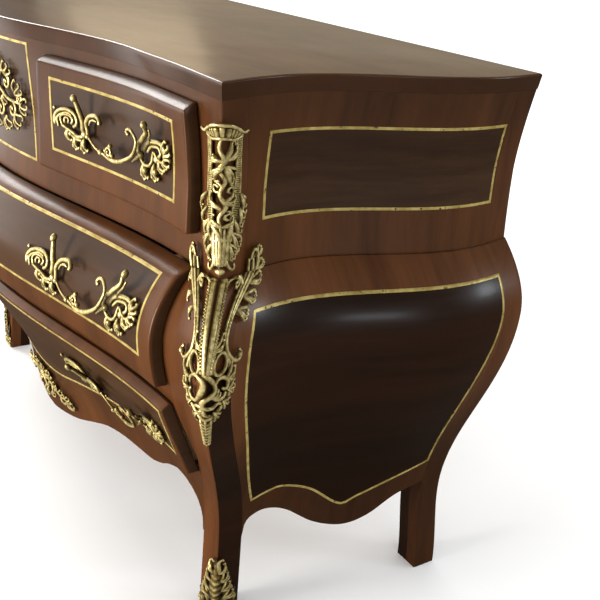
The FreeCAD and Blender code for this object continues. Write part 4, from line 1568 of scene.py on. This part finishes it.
@dataclass
class BeadRows:
    """Rows of small beads along paths, made with geometry nodes, in millimetres."""

    shop: Workshop
    radius: float = 1.7
    spacing: float = 4.2
    crest: float = 0.85
    paths: list[np.ndarray] = field(default_factory=list)

    def tree(self) -> bpy.types.NodeTree:
        """Tree that sets a bead at every step along the edges of a mesh.

        Returns:
            The tree.
        """
        group = bpy.data.node_groups.new("bead_rows", "GeometryNodeTree")
        for name, kind in (
            ("Geometry", "Geometry"),
            ("Bead Radius", "Float"),
            ("Bead Spacing", "Float"),
            ("Gilt", "Material"),
        ):
            group.interface.new_socket(name, in_out="INPUT", socket_type="NodeSocket" + kind)
        group.interface.new_socket("Geometry", in_out="OUTPUT", socket_type="NodeSocketGeometry")
        kit = NodeTree(group)
        given = kit.add("NodeGroupInput").outputs
        curve = kit.add("GeometryNodeMeshToCurve", {0: given["Geometry"]}).outputs[0]
        wanted = {"Curve": curve, "Length": given["Bead Spacing"]}
        steps = kit.add("GeometryNodeResampleCurve", wanted, mode="LENGTH").outputs[0]
        wanted = {"Radius": given["Bead Radius"], "Subdivisions": 2}
        bead = kit.add("GeometryNodeMeshIcoSphere", wanted).outputs[0]
        wanted = {0: bead, "Name": "crest", "Value": self.crest}
        crest = kit.add("GeometryNodeStoreNamedAttribute", wanted, data_type="FLOAT", domain="POINT")
        wanted = {"Points": steps, "Instance": crest.outputs[0]}
        beads = kit.add("GeometryNodeInstanceOnPoints", wanted).outputs[0]
        real = kit.add("GeometryNodeRealizeInstances", {0: beads}).outputs[0]
        even = kit.add("GeometryNodeSetShadeSmooth", {0: real}).outputs[0]
        finish = kit.add("GeometryNodeSetMaterial", {0: even, "Material": given["Gilt"]}).outputs[0]
        kit.add("NodeGroupOutput", {0: finish})
        return group

    def build(self, name: str, body: str) -> None:
        """Set the beads along every path gathered so far.

        Args:
            name: Name of the piece.
            body: Body that it rides.
        """
        points, edges = [], []
        for path in self.paths:
            start = len(points)
            points += ((path + (0, CENTRING, 0)) * MM).tolist()
            edges += [(start + k, start + k + 1) for k in range(len(path) - 1)]
        mesh = bpy.data.meshes.new(name)
        mesh.from_pydata(points, edges, [])
        piece = linked(name, mesh)
        modifier = piece.modifiers.new("beads", "NODES")
        modifier.node_group = self.tree()
        wanted = {"Bead Radius": self.radius * MM, "Bead Spacing": self.spacing * MM, "Gilt": self.shop.gilt}
        for item in modifier.node_group.interface.items_tree:
            if item.in_out == "INPUT" and item.name in wanted:
                modifier[item.identifier] = wanted[item.name]
        settle(piece)
        self.shop.dress(piece, self.shop.gilt, body, "gilt_brass")


@dataclass
class CastHandle:
    """Cast handle in one piece: bail, pierced scroll ends, raised balls and leaves, in millimetres."""

    shop: Workshop
    body: str
    node: str
    x: float
    z: float
    form: Form
    half_span: float = 60.0

    def place(self, flat: np.ndarray) -> np.ndarray:
        """Lay flat points on the drawer face.

        Args:
            flat: Points about the middle of the handle.

        Returns:
            Points, one row each.
        """
        ends = np.array([self.x - self.half_span, self.x + self.half_span])
        step = float(np.diff(self.form.front(ends, self.z))[0])
        x = self.x + flat[:, 0] * 2 * self.half_span / math.hypot(2 * self.half_span, step)
        return self.form.front_place(x, self.z + flat[:, 1], flat[:, 2]) - (0, DRAWER_PROUD, 0)

    def build(self) -> None:
        """Make the handle."""
        piece = self.ornament().piece(self.node + "_cast", self.place)
        self.shop.dress(piece, self.shop.gilt, self.body, "gilt_brass", self.node)

    @staticmethod
    def ornament() -> Relief:
        """Bail with a scroll end on each side, about the middle of the handle.

        Returns:
            The ornament.
        """
        cast = Relief()
        # Hook, thin rod, knot and the thick crescent that the hand holds
        cast.stroke(
            ((-44, -8, 9), (-44, 1, 10), (-44, 11, 12), (-37, 20, 13), (-26, 24, 15), (-14, 25, 16),
             (-6, 21, 17), (-4, 17, 18)), (2.8, 3.2, 3.6, 3.6, 3.4, 3, 2.8, 3.6))
        cast.stroke(((-33, 10, 15), (-29, 16, 16), (-22, 19, 16), (-15, 18, 16)), (1.2, 1.8, 1.8, 1.4))
        cast.stroke(((-40, -9, 10), (-26, -15, 13), (-8, -19, 16), (6, -20, 17)), (2, 1.7, 1.8, 2.4))
        cast.balls((-1, -19, 17, 4.2), (11, -14, 17, 3.2), (21, -6, 17, 3.2), (28, -17, 18, 3.4))
        cast.balls((-44, -8, 9, 4.2))
        cast.scroll((19, -15, 17), 200, -1.3, 8, 2, (2.4, 2.2, 2, 1.8))
        cast.stroke(
            ((8, -20, 18), (25, -23, 18), (44, -21, 19), (61, -15, 19), (77, -6, 19), (87, 5, 20),
             (90, 16, 20), (84, 23, 20), (76, 27, 20), (68, 26, 20), (66, 22, 20), (71, 20, 20)),
            (2, 2.8, 3.4, 3.4, 3.2, 2.8, 2.6, 2.4, 2.2, 2.2, 2.2, 2.8))
        # Ribbed C-scroll, tall stem with its ball, and hanging lobes on the left
        cast.stroke(
            ((-130, -7), (-132, 1), (-126, 10), (-114, 16), (-99, 18), (-86, 16), (-78, 10),
             (-77, 2), (-84, -3)),
            (3, 3.4, 3.2, 3, 3, 3, 3, 3, 3))
        cast.stroke(
            ((-122, -9, 5), (-124, 1, 6), (-119, 7, 6), (-110, 11, 6), (-99, 14, 6), (-89, 12, 6)),
            (2.4, 2.6, 2.4, 2.4, 2.2, 2))
        cast.stroke(
            ((-110, -4), (-114, 2), (-112, 8), (-103, 11), (-91, 11), (-84, 7), (-87, 1)),
            (2.2, 2.2, 2, 2, 2, 2.2, 2.6), w=7)
        cast.stroke(((-103, 0), (-105, 5), (-99, 8), (-94, 6), (-95, 1)), (2.4, 2, 1.8, 1.8, 2.2), w=7)
        cast.stroke(
            ((-112, -5, 6), (-98, -8, 6), (-84, -11, 6), (-72, -14, 7), (-58, -11, 8)),
            (2.6, 2.4, 2.6, 2.8, 3.2))
        cast.stroke(((-104, -9, 5), (-92, -14, 5), (-78, -18, 6), (-64, -18, 6)), (2, 2.2, 2.4, 2.2))
        cast.stroke(
            ((-57, -2, 8), (-54, 10, 11), (-56, 22, 15), (-58, 33, 19), (-60, 40, 22)),
            (4.4, 4.2, 4, 3.6, 3.2))
        cast.balls(
            (-134, 15, 4, 3), (-127, 0, 3, 6), (-60, 41, 23, 5.2), (-53, -7, 8, 6), (-80, -21, 5, 5),
            (-60, -21, 5, 5.4), (-92, -14, 5, 4), flat=0.85)
        cast.fans(
            (-78, -14, -87, -31, -80, -34, -74, -32), (-58, -14, -67, -31, -60, -35, -52, -31),
            (-98, -9, -106, -20, -98, -24, -91, -24), radius=2.8, tip=4)
        # Stem with its ball, pierced C-scroll, leaf fan and hanging lobes on the right
        cast.stroke(
            ((116, 42, 22), (114, 33, 18), (102, 23, 16), (87, 12, 13), (80, 3, 11), (81, -6, 8)),
            (2.8, 3.4, 3.8, 3.8, 3.4, 3))
        cast.stroke(((123, 38, 18), (118, 30, 15), (107, 22, 11), (103, 16, 8)), (1.6, 2, 2, 2))
        cast.stroke(((66, -17, 12), (76, -9, 10), (84, -2, 8)), (1.2, 2.2, 2.8))
        cast.stroke(
            ((88, 4), (95, 13), (108, 18), (124, 20), (135, 18), (140, 11), (138, 5)),
            (3, 3.2, 3.2, 3.2, 3, 3, 3), w=6)
        cast.stroke(
            ((98, 3), (105, 11), (116, 14), (127, 14), (131, 8), (126, 3)),
            (2.4, 2.4, 2.4, 2.4, 2.4, 2.8), w=7)
        cast.stroke(
            ((79, -10, 6), (86, -15, 6), (98, -15, 6), (106, -8, 6), (108, 1, 6), (112, 6, 7)),
            (2.4, 2.6, 2.6, 2.4, 2.2, 2))
        cast.stroke(((112, 6), (119, 0), (130, -3), (137, 0)), (2.2, 2.4, 2.4, 2.2), w=6)
        cast.balls(
            (118, 44, 22, 5.2), (82, -4, 8, 5), (115, -3, 3, 6), (88, -23, 5, 5.2), (113, -19, 5, 5.2),
            (124, -6, 5, 4), flat=0.85)
        cast.fans(
            (136, 8, 138, 26, 146, 21, 150, 12), (136, 2, 149, 3, 147, -5, 141, -10),
            (86, -13, 79, -32, 86, -36, 94, -33), (111, -10, 104, -29, 112, -32, 119, -29),
            (124, -4, 125, -18, 131, -18, 136, -13), radius=2.8, tip=4)
        return cast


@dataclass
class CornerMounts:
    """Gilt chutes on the front corners and shoes on the front feet, in millimetres."""

    shop: Workshop
    beads: BeadRows
    far_arm: float = 12.0

    def build(self) -> None:
        """Make the mounts of both corners."""
        mounts = (
            ("upper_chute", "upper_corner_mount", self.upper()),
            ("lower_chute", "lower_corner_mount", self.lower()),
            ("leaf_shoe", "sabot", self.shoe()),
        )
        for hand in Hand:
            for name, node, relief in mounts:
                piece = relief.piece(
                    f"{name}_{hand.side}", lambda flat, hand=hand: hand.mirror(corner_place(flat))
                )
                self.shop.dress(piece, self.shop.gilt, "carcase", "gilt_brass", f"{node}_{hand.side}")
            self.beads.paths += [hand.mirror(corner_place(path)) for path in self.bead_paths()]

    @staticmethod
    def bead_paths() -> list[np.ndarray]:
        """Paths of the beads down the stem of the lower chute.

        Returns:
            Flat points of each path.
        """
        stem = (9, 616, 8), (7.5, 598, 8), (6.5, 578, 8), (5.5, 556, 8), (4, 532, 8)
        arm = (18, 556, 7), (22, 566, 7), (26, 578, 8)
        return [smooth(np.array(line) * (sign, 1, 1), 40) for line in (stem, arm) for sign in SIGNS]

    @staticmethod
    def upper() -> Relief:
        """Upper chute: fluted lip, ribbed side bands round pierced leaves, flutes and scrolled foot.

        Returns:
            The ornament.
        """
        cast = Relief()
        lip = (-33, 803, 10), (-25, 801, 10), (-15, 807, 9), (0, 812, 9)
        lip += tuple((-at, z, w) for at, z, w in lip[2::-1])
        cast.stroke(lip, (1.6, 2.4, 2.4, 2.4, 2.4, 2.4, 1.6))
        cast.stroke(((-28, 795, 5), (-14, 792, 5), (0, 795, 6), (14, 792, 5), (28, 795, 5)), 2)
        for k in range(-5, 6):
            flute = (k * 5.4, 808 - abs(k) * 1.3, 7), (k * 5.2, 801 - abs(k) * 0.8, 5), (k * 5.0, 795, 4)
            cast.stroke(flute, (2.2, 2.6, 2), sides=6)
        inner, outer = (
            smooth(at_level(np.array(line), w), 44)
            for w, line in (
                (4, ((20, 793), (20, 771), (18, 745), (16, 718), (13, 698), (9, 678))),
                (3, ((29, 793), (28, 770), (28, 743), (28, 716), (26, 695), (21, 673))),
            )
        )
        for sign in SIGNS:
            cast.stroke(inner, 1.6, sign, sides=6)
            cast.stroke(outer, 1.6, sign, sides=6)
            for a, b in zip(inner[1:-1], outer[1:-1]):
                cast.stroke((a, (a + b) / 2 + (0, 0, 0.8), b), 1.5, sign, sides=5)
            cast.fans(
                (27, 722, 33, 712, 36, 704, 35, 696), (26, 704, 34, 690, 32, 684, 29, 680),
                (10, 695, 3, 668, 9, 667, 14, 667), (17, 692, 19, 668, 25, 668, 29, 673),
                (13, 677, 30, 663, 28, 656, 24, 650), (9, 664, 22, 648, 18, 643, 13, 642), sign=sign)
            cast.stroke(((5, 644), (9, 635), (15, 630), (19, 632), (18, 637)), (1.8, 2.4, 2.4, 2.2, 2), sign)
        cast.fans(
            (3, 768, 13, 792, 18, 787, 18, 778), (0, 767, -13, 773, -18, 769, -15, 763),
            (1, 761, -16, 750, -13, 743, -6, 741), (3, 761, 18, 752, 16, 743, 10, 739),
            (-1, 708, -16, 727, -17, 719, -14, 711), (2, 715, 16, 729, 18, 721, 16, 712),
            (0, 686, -9, 700, -12, 694, -13, 686), (2, 686, 13, 684, 15, 691, 14, 698))
        for centre, size in (((-6, 733, 4), 7.0), ((9, 731, 4), 6.0), ((7, 698, 4), 6.0)):
            cast.scroll(centre, 90, -1.15, size, 0.55 * size, (2, 1.8, 1.6))
        for k in range(-3, 4):
            flute = (k * 3.6, 684 - abs(k), 5), (k * 2.9, 662, 6), (k * 2.1, 638, 5)
            cast.stroke(flute, (1.4, 1.9, 1.6), sides=6)
        cast.stroke(
            ((0, 796, 4), (-3, 783, 5), (2, 768, 6), (-3, 756, 5), (3, 743, 5), (-2, 726, 5), (4, 711, 5),
             (-2, 697, 5), (0, 682, 4)), (1.6, 1.8, 2.6, 2.2, 1.8, 2.2, 2.4, 1.8, 2.4))
        cast.balls((-8, 770, 6, 4.2), (0, 631, 5, 4.4))
        return cast

    def lower(self) -> Relief:
        """Lower chute: two leafy arms ending in scrolls, ribbed stem, pierced cartouche and a husk.

        Returns:
            The ornament.
        """
        cast = Relief()
        turn = np.linspace(0, 2 * np.pi, 14, endpoint=False)
        for sign in SIGNS:
            far = 0.0 if sign > 0 else self.far_arm
            # Arm with its two side lines, fronds and scroll
            cast.stroke(
                ((47, 636, 8), (51, 647, 9), (57, 644, 9), (58, 632, 9), (54, 615, 8), (44, 602, 7),
                 (35, 590, 6), (27, 577, 6), (24, 562, 6), (27, 548, 6), (37, 536, 6), (47, 531, 6),
                 (53, 537, 6), (48, 544, 6)),
                (2, 2.6, 2.8, 3.2, 3.4, 3.4, 3.2, 3, 2.8, 2.8, 2.6, 2.6, 2.4, 2), sign)
            cast.stroke(
                ((46, 636, 6), (44, 616, 5), (37, 605, 5), (29, 591, 5), (23, 577, 5), (20, 558, 5),
                 (17, 550, 5)),
                (2, 2.6, 2.6, 2.6, 2.4, 2.4, 1.8), sign)
            cast.stroke(
                ((51, 636, 8), (49, 618, 8), (40, 604, 7), (32, 592, 7), (25, 578, 6)),
                (2, 2.8, 2.8, 2.4, 1.8), sign, sides=6)
            cast.fans(
                (54, 620, 69 - far, 632, 72 - far, 629, 74 - far, 625),
                (51, 608, 72 - far, 613, 74 - far, 609, 74 - far, 605),
                (45, 597, 68 - far, 595, 69 - far, 591, 68 - far, 587),
                (38, 586, 58 - far, 580, 58 - far, 576, 56 - far, 572),
                (55, 636, 64 - far / 2, 650, 67 - far, 648, 69 - far, 644),
                (29, 512, 42, 535, 44, 526, 44, 517), (32, 497, 44, 508, 45, 500, 42, 491),
                (24, 483, 37, 484, 34, 476, 27, 470), (9, 471, 20, 465, 16, 460, 9, 457),
                (5, 553, 20, 568, 21, 561, 19, 554), sign=sign)
            cast.balls((sign * 48, 538, 8, 3.8))
            # Yoke, stem, round window and frame of the cartouche
            cast.stroke(((8, 611), (14, 617), (27, 618), (38, 611), (42, 604)), (2.4, 3, 3, 2.8, 2), sign, 6)
            cast.scroll((sign * 28, 611, 6), 90, sign * -1.1, 6, 1.5, (2.4, 2.2, 2))
            stem = (9, 619), (7.5, 598), (6.5, 578), (5.5, 556), (4, 528)
            cast.stroke(stem, (2.2, 2, 2, 1.9, 1.8), sign, 6)
            core = (4, 622, 7), (3.4, 590, 7), (2.6, 560, 7), (1.6, 526, 6)
            cast.stroke(core, (2.6, 2.2, 2, 1.6), sign, sides=6)
            window = np.stack([sign * 18 + 11 * np.cos(turn), 535 + 13 * np.sin(turn)], 1)
            cast.stroke(window, 2.4, flat=1.0, sides=6, closed=True)
            cast.stroke(
                ((27, 546), (34, 530), (38, 512), (37, 496), (31, 482), (20, 473), (8, 466), (0, 461)),
                (2.2, 2.8, 3, 3, 3, 2.8, 2.6, 2.6), sign)
            for k in range(8):
                low = 453 - 5.5 * k
                husk = (0, low, 5), (3.2 - 0.2 * k, low + 1, 6), (6.4 - 0.5 * k, low + 7, 4)
                cast.stroke(husk, (1.9, 1.8, 0.9), sign, sides=6)
        # Lopsided scrolls inside the cartouche
        for path in (
            ((-27, 508), (-25, 516), (-14, 523), (-4, 521), (-2, 509), (-9, 491), (-21, 487),
             (-28, 494), (-24, 501)),
            ((0, 527), (5, 520), (11, 506), (4, 497), (-2, 490), (-3, 476)),
            ((8, 510), (15, 518), (25, 517), (32, 509), (29, 500), (22, 503)),
            ((4, 498), (13, 490), (24, 489), (28, 495)),
            ((-16, 478), (-6, 483), (4, 480), (14, 484), (20, 481)),
        ):
            cast.stroke(path, (2.2, 2.8, 3, 2.8, 2.2), w=6)
        cast.fans((8, 494, 17, 503, 20, 498, 18, 493), (-2, 478, -9, 472, -4, 468, 3, 468))
        cast.stroke(((0, 462, 4), (0, 436, 4), (-1, 408, 3)), (1.8, 1.6, 1))
        return cast

    @staticmethod
    def shoe() -> Relief:
        """Leaf shoe on the foot.

        Returns:
            The ornament.
        """
        cast = Relief()
        cast.leaf(((0, 30, 1), (0, 70, 5), (0, 121, 2)), 11, 9, 4)
        for sign in SIGNS:
            cast.fans(
                (4, 92, 6, 117, 11, 110, 14, 102), (6, 76, 14, 98, 18, 91, 21, 82),
                (8, 60, 20, 80, 24, 72, 27, 63), (12, 46, 27, 62, 31, 54, 33, 46), sign=sign)
            cast.leaf(((10, 20, 1), (18, 50, 4), (20, 86, 2)), 11, 5, 3, sign)
            cast.leaf(((24, 10, 1), (32, 34, 4), (34, 60, 2)), 10, 4, 3, sign)
            cast.stroke(((1, 12), (20, 16), (42, 14)), (4, 3.6, 3), sign, 2)
            cast.scroll((sign * 36, 20, 2), 180, sign * 1.2, 8, 2, (3, 2.4))
            cast.stroke(((0, 4), (22, 4), (42, 4)), (3.6, 3.6, 3.2), sign, 1.5)
        cast.stroke(((0, 24, 3), (0, 60, 5), (0, 100, 4)), (3, 2.6, 1.4))
        return cast


@dataclass(frozen=True)
class FrontMount:
    """Gilt mount on the front, alike on both sides of its middle line, in millimetres."""

    name: str
    body: str
    node: str
    form: Form
    proud: float
    stems: Sequence[tuple[Points, Row]]
    curls: Points
    fans: Points
    leaves: Sequence[tuple[Points, float, int, float]]
    boss: Row

    def place(self, flat: np.ndarray) -> np.ndarray:
        """Lay flat points on the front."""
        return self.form.front_place(*flat.T) - (0, self.proud, 0)

    def build(self, shop: Workshop) -> None:
        """Make the mount.

        Args:
            shop: Finishes.
        """
        cast = Relief()
        for sign in SIGNS:
            for points, radii in self.stems:
                cast.stroke(points, radii, sign)
            for at, z, size in self.curls:
                cast.scroll((sign * at, z, 4), 90, sign * -1.25, size, 2.5, (3, 2.8, 2.2))
            cast.fans(*self.fans, sign=sign)
        for leaf in self.leaves:
            cast.leaf(*leaf)
        cast.balls(self.boss, flat=0.6)
        shop.dress(cast.piece(self.name, self.place), shop.gilt, self.body, "gilt_brass", self.node)


FRONT_MOUNTS = (
    FrontMount(
        "frieze_rocaille", "carcase", "frieze_cartouche", UPPER, 0.0,
        stems=(
            (((8, 700, 4), (40, 712, 5), (46, 740, 5), (28, 768, 5), (46, 792, 5)),
             (2.6, 3.4, 3.6, 3.4, 2.4)),
            (((44, 738, 5), (72, 750, 6), (102, 738, 6), (136, 736, 5)), (3.4, 3.6, 3.2, 2.4)),
            (((66, 750, 5), (84, 776, 6), (104, 780, 6), (112, 766, 5)), (3, 3.2, 3, 2.4)),
        ),
        curls=(
            (26, 780, 12), (64, 772, 14), (98, 762, 12), (68, 716, 15), (112, 722, 14), (30, 722, 12),
            (138, 742, 10),
        ),
        fans=(
            (16, 782, 6, 811, 18, 810, 30, 806), (62, 776, 50, 799, 62, 802, 74, 796),
            (100, 772, 98, 796, 110, 792, 120, 783), (126, 748, 130, 772, 143, 766, 152, 756),
            (140, 736, 163, 746, 165, 734, 160, 722), (120, 716, 150, 714, 143, 703, 132, 695),
            (88, 708, 112, 696, 103, 689, 91, 686), (54, 706, 72, 690, 62, 686, 50, 685),
            (22, 706, 34, 690, 22, 687, 10, 687), (84, 742, 96, 728, 88, 724, 80, 726),
        ),
        leaves=(
            (((0, 770, 3), (0, 790, 8), (0, 811, 5)), 10, 5, 5),
            (((0, 708, 3), (0, 698, 7), (0, 687, 4)), 9, 4, 4),
        ),
        boss=(0, 740, 5, 13),
    ),
    FrontMount(
        "apron_rocaille", "bottom_drawer", "bottom_drawer_apron_mount", LOWER, DRAWER_PROUD,
        stems=(
            (((2, 214, 4), (20, 208, 5), (25, 190, 5), (12, 176, 5), (3, 160, 4)),
             (2.6, 3.4, 3.6, 3.4, 2.6)),
            (((24, 188, 5), (48, 184, 6), (74, 178, 6), (96, 181, 6), (112, 177, 5)), (3.2, 3.2, 3, 2.6, 2)),
        ),
        curls=((32, 204, 11), (34, 176, 11), (11, 192, 8)),
        fans=(
            (12, 208, 4, 220, 12, 221, 20, 218), (34, 206, 38, 219, 46, 216, 50, 208),
            (44, 190, 55, 200, 58, 193, 58, 186), (30, 170, 46, 166, 40, 158, 30, 154),
            (6, 166, 14, 152, 8, 148, 2, 147), (68, 179, 78, 193, 86, 191, 90, 185),
            (72, 178, 80, 167, 88, 166, 93, 171), (96, 181, 104, 191, 112, 190, 116, 184),
            (98, 180, 106, 169, 114, 168, 120, 172), (108, 178, 122, 184, 128, 178, 126, 172),
        ),
        leaves=((((0, 200, 2), (0, 210, 6), (0, 219, 4)), 7, 4, 4),),
        boss=(0, 186, 4, 7),
    ),
)


@dataclass(frozen=True)
class Lamp:
    """Soft square lamp, in metres and watts, at a place and facing a point."""

    name: str
    at: Triple
    to: Triple
    size: float
    power: float
    tint: Colour

    def hang(self) -> None:
        """Add the lamp to the scene, unseen by the camera."""
        data = bpy.data.lights.new(self.name, "AREA")
        data.size, data.energy, data.color = self.size, self.power, self.tint
        lamp = linked(self.name, data)
        lamp.location = self.at
        lamp.visible_camera = False
        lamp.rotation_euler = (Vector(self.to) - Vector(self.at)).to_track_quat("-Z", "Y").to_euler()


@dataclass
class Studio:
    """Pale floor, soft lights and the camera, in metres and radians."""

    floor_reach: float = 14.0
    gloss_tint: Colour = (1, 0.8, 0.55)
    gloss_strength: float = 0.09
    lamps: tuple[Lamp, ...] = (
        Lamp("window", (0.1, -3.2, 0.6), (0.2, -0.2, 0.55), 1.2, 150.0, (1.0, 0.97, 0.93)),
        Lamp("left", (-2.4, -1.5, 0.75), (0.2, -0.2, 0.55), 2.0, 32.0, (1.0, 0.97, 0.93)),
        Lamp("overhead", (-1.9, -0.4, 2.0), (0.1, -0.1, 0.6), 0.9, 36.0, (1.0, 0.98, 0.95)),
        Lamp("back", (-3.3, 2.5, 1.3), (0.2, 0, 0.86), 3.4, 15.0, (1.0, 0.84, 0.62)),
        Lamp("fill", (2.2, 2.4, 1.4), (0.6, 0, 0.5), 0.5, 14.0, (0.85, 0.94, 1.0)),
        Lamp("spark", (3.1, 0.15, 1.1), (0.7, -0.2, 0.56), 0.35, 5.0, (0.85, 0.94, 1.0)),
        Lamp("glint", (-2.46, 1.02, 1.62), (0.7, -0.3, 0.86), 0.6, 1.2, (1.0, 0.8, 0.52)),
    )
    camera_at: Triple = (1.5419, -0.6539, 1.028)
    yaw: float = 0.9726
    pitch: float = 0.3946
    roll: float = 0.0823
    focal_pixels: float = 910.53
    frame_pixels: float = 600.0
    sensor: float = 36.0

    def build(self) -> None:
        """Set up floor, world, lights and camera."""
        self.floor()
        self.world()
        for lamp in self.lamps:
            lamp.hang()
        self.camera()

    def floor(self) -> None:
        """Wide pale floor that the chest stands on."""
        far = self.floor_reach
        mesh = bpy.data.meshes.new("floor")
        corners = (-far, -far, 0), (far, -far, 0), (far, far, 0), (-far, far, 0)
        mesh.from_pydata(corners, [], [(0, 1, 2, 3)])
        mesh.materials.append(FloorFinish().material())
        linked("floor", mesh)

    def world(self) -> None:
        """Even pale surround, dim and golden in reflections."""
        world = bpy.data.worlds.new("surround")
        bpy.context.scene.world = world
        world.use_nodes = True
        tree = NodeTree(world.node_tree)
        plain, glossy = (
            tree.add("ShaderNodeBackground", {"Color": (*tint, 1), "Strength": strength}).outputs[0]
            for tint, strength in (((1, 1, 1), 1.0), (self.gloss_tint, self.gloss_strength))
        )
        reflected = tree.add("ShaderNodeLightPath").outputs["Is Glossy Ray"]
        both = tree.add("ShaderNodeMixShader", {0: reflected, 1: plain, 2: glossy})
        tree.add("ShaderNodeOutputWorld", {"Surface": both.outputs[0]})

    def camera(self) -> None:
        """Camera at the viewing angle of the photograph."""
        data = bpy.data.cameras.new("camera")
        data.sensor_width = self.sensor
        data.lens = self.focal_pixels / self.frame_pixels * self.sensor
        data.clip_start, data.clip_end = 0.05, 60.0
        level_look = Vector((-math.sin(self.yaw), math.cos(self.yaw), 0))
        look = level_look * math.cos(self.pitch) - Vector((0, 0, math.sin(self.pitch)))
        level = look.cross(Vector((0, 0, 1))).normalized()
        upright = level.cross(look)
        right = level * math.cos(self.roll) + upright * math.sin(self.roll)
        up = upright * math.cos(self.roll) - level * math.sin(self.roll)
        turn = Matrix((right, up, -look)).transposed()
        camera = linked("camera", data)
        camera.matrix_world = Matrix.Translation(self.camera_at) @ turn.to_4x4()
        bpy.context.scene.camera = camera


# Body, solid, place of the middle along and up the front, and form of each handle
HANDLES = (
    ("top_right_drawer", "top_right_drawer_handle", 405.1, 742.5, UPPER),
    ("top_left_drawer", "top_left_drawer_handle", -405.1, 742.5, UPPER),
    ("middle_drawer", "middle_drawer_handle_right", 408, 540, LOWER),
    ("middle_drawer", "middle_drawer_handle_left", -408, 540, LOWER),
    ("bottom_drawer", "bottom_drawer_handle_right", 388, 345, LOWER),
    ("bottom_drawer", "bottom_drawer_handle_left", -388, 345, LOWER),
)


def main() -> None:
    """Build the chest and its studio."""
    logging.basicConfig(level=logging.INFO, format="%(message)s")
    bpy.context.scene.view_settings.view_transform = "Standard"
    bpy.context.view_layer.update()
    shop = Workshop()
    Carcase(shop).build()
    DrawerFronts(shop).build()
    Stringing(shop).build()
    for body, node, x, z, form in HANDLES:
        CastHandle(shop, body, node, x, z, form).build()
    beads = BeadRows(shop)
    CornerMounts(shop, beads).build()
    beads.build("chute_beads", "carcase")
    for mount in FRONT_MOUNTS:
        mount.build(shop)
    shop.dress_solids()
    Studio().build()


if __name__ == "__main__":
    main()
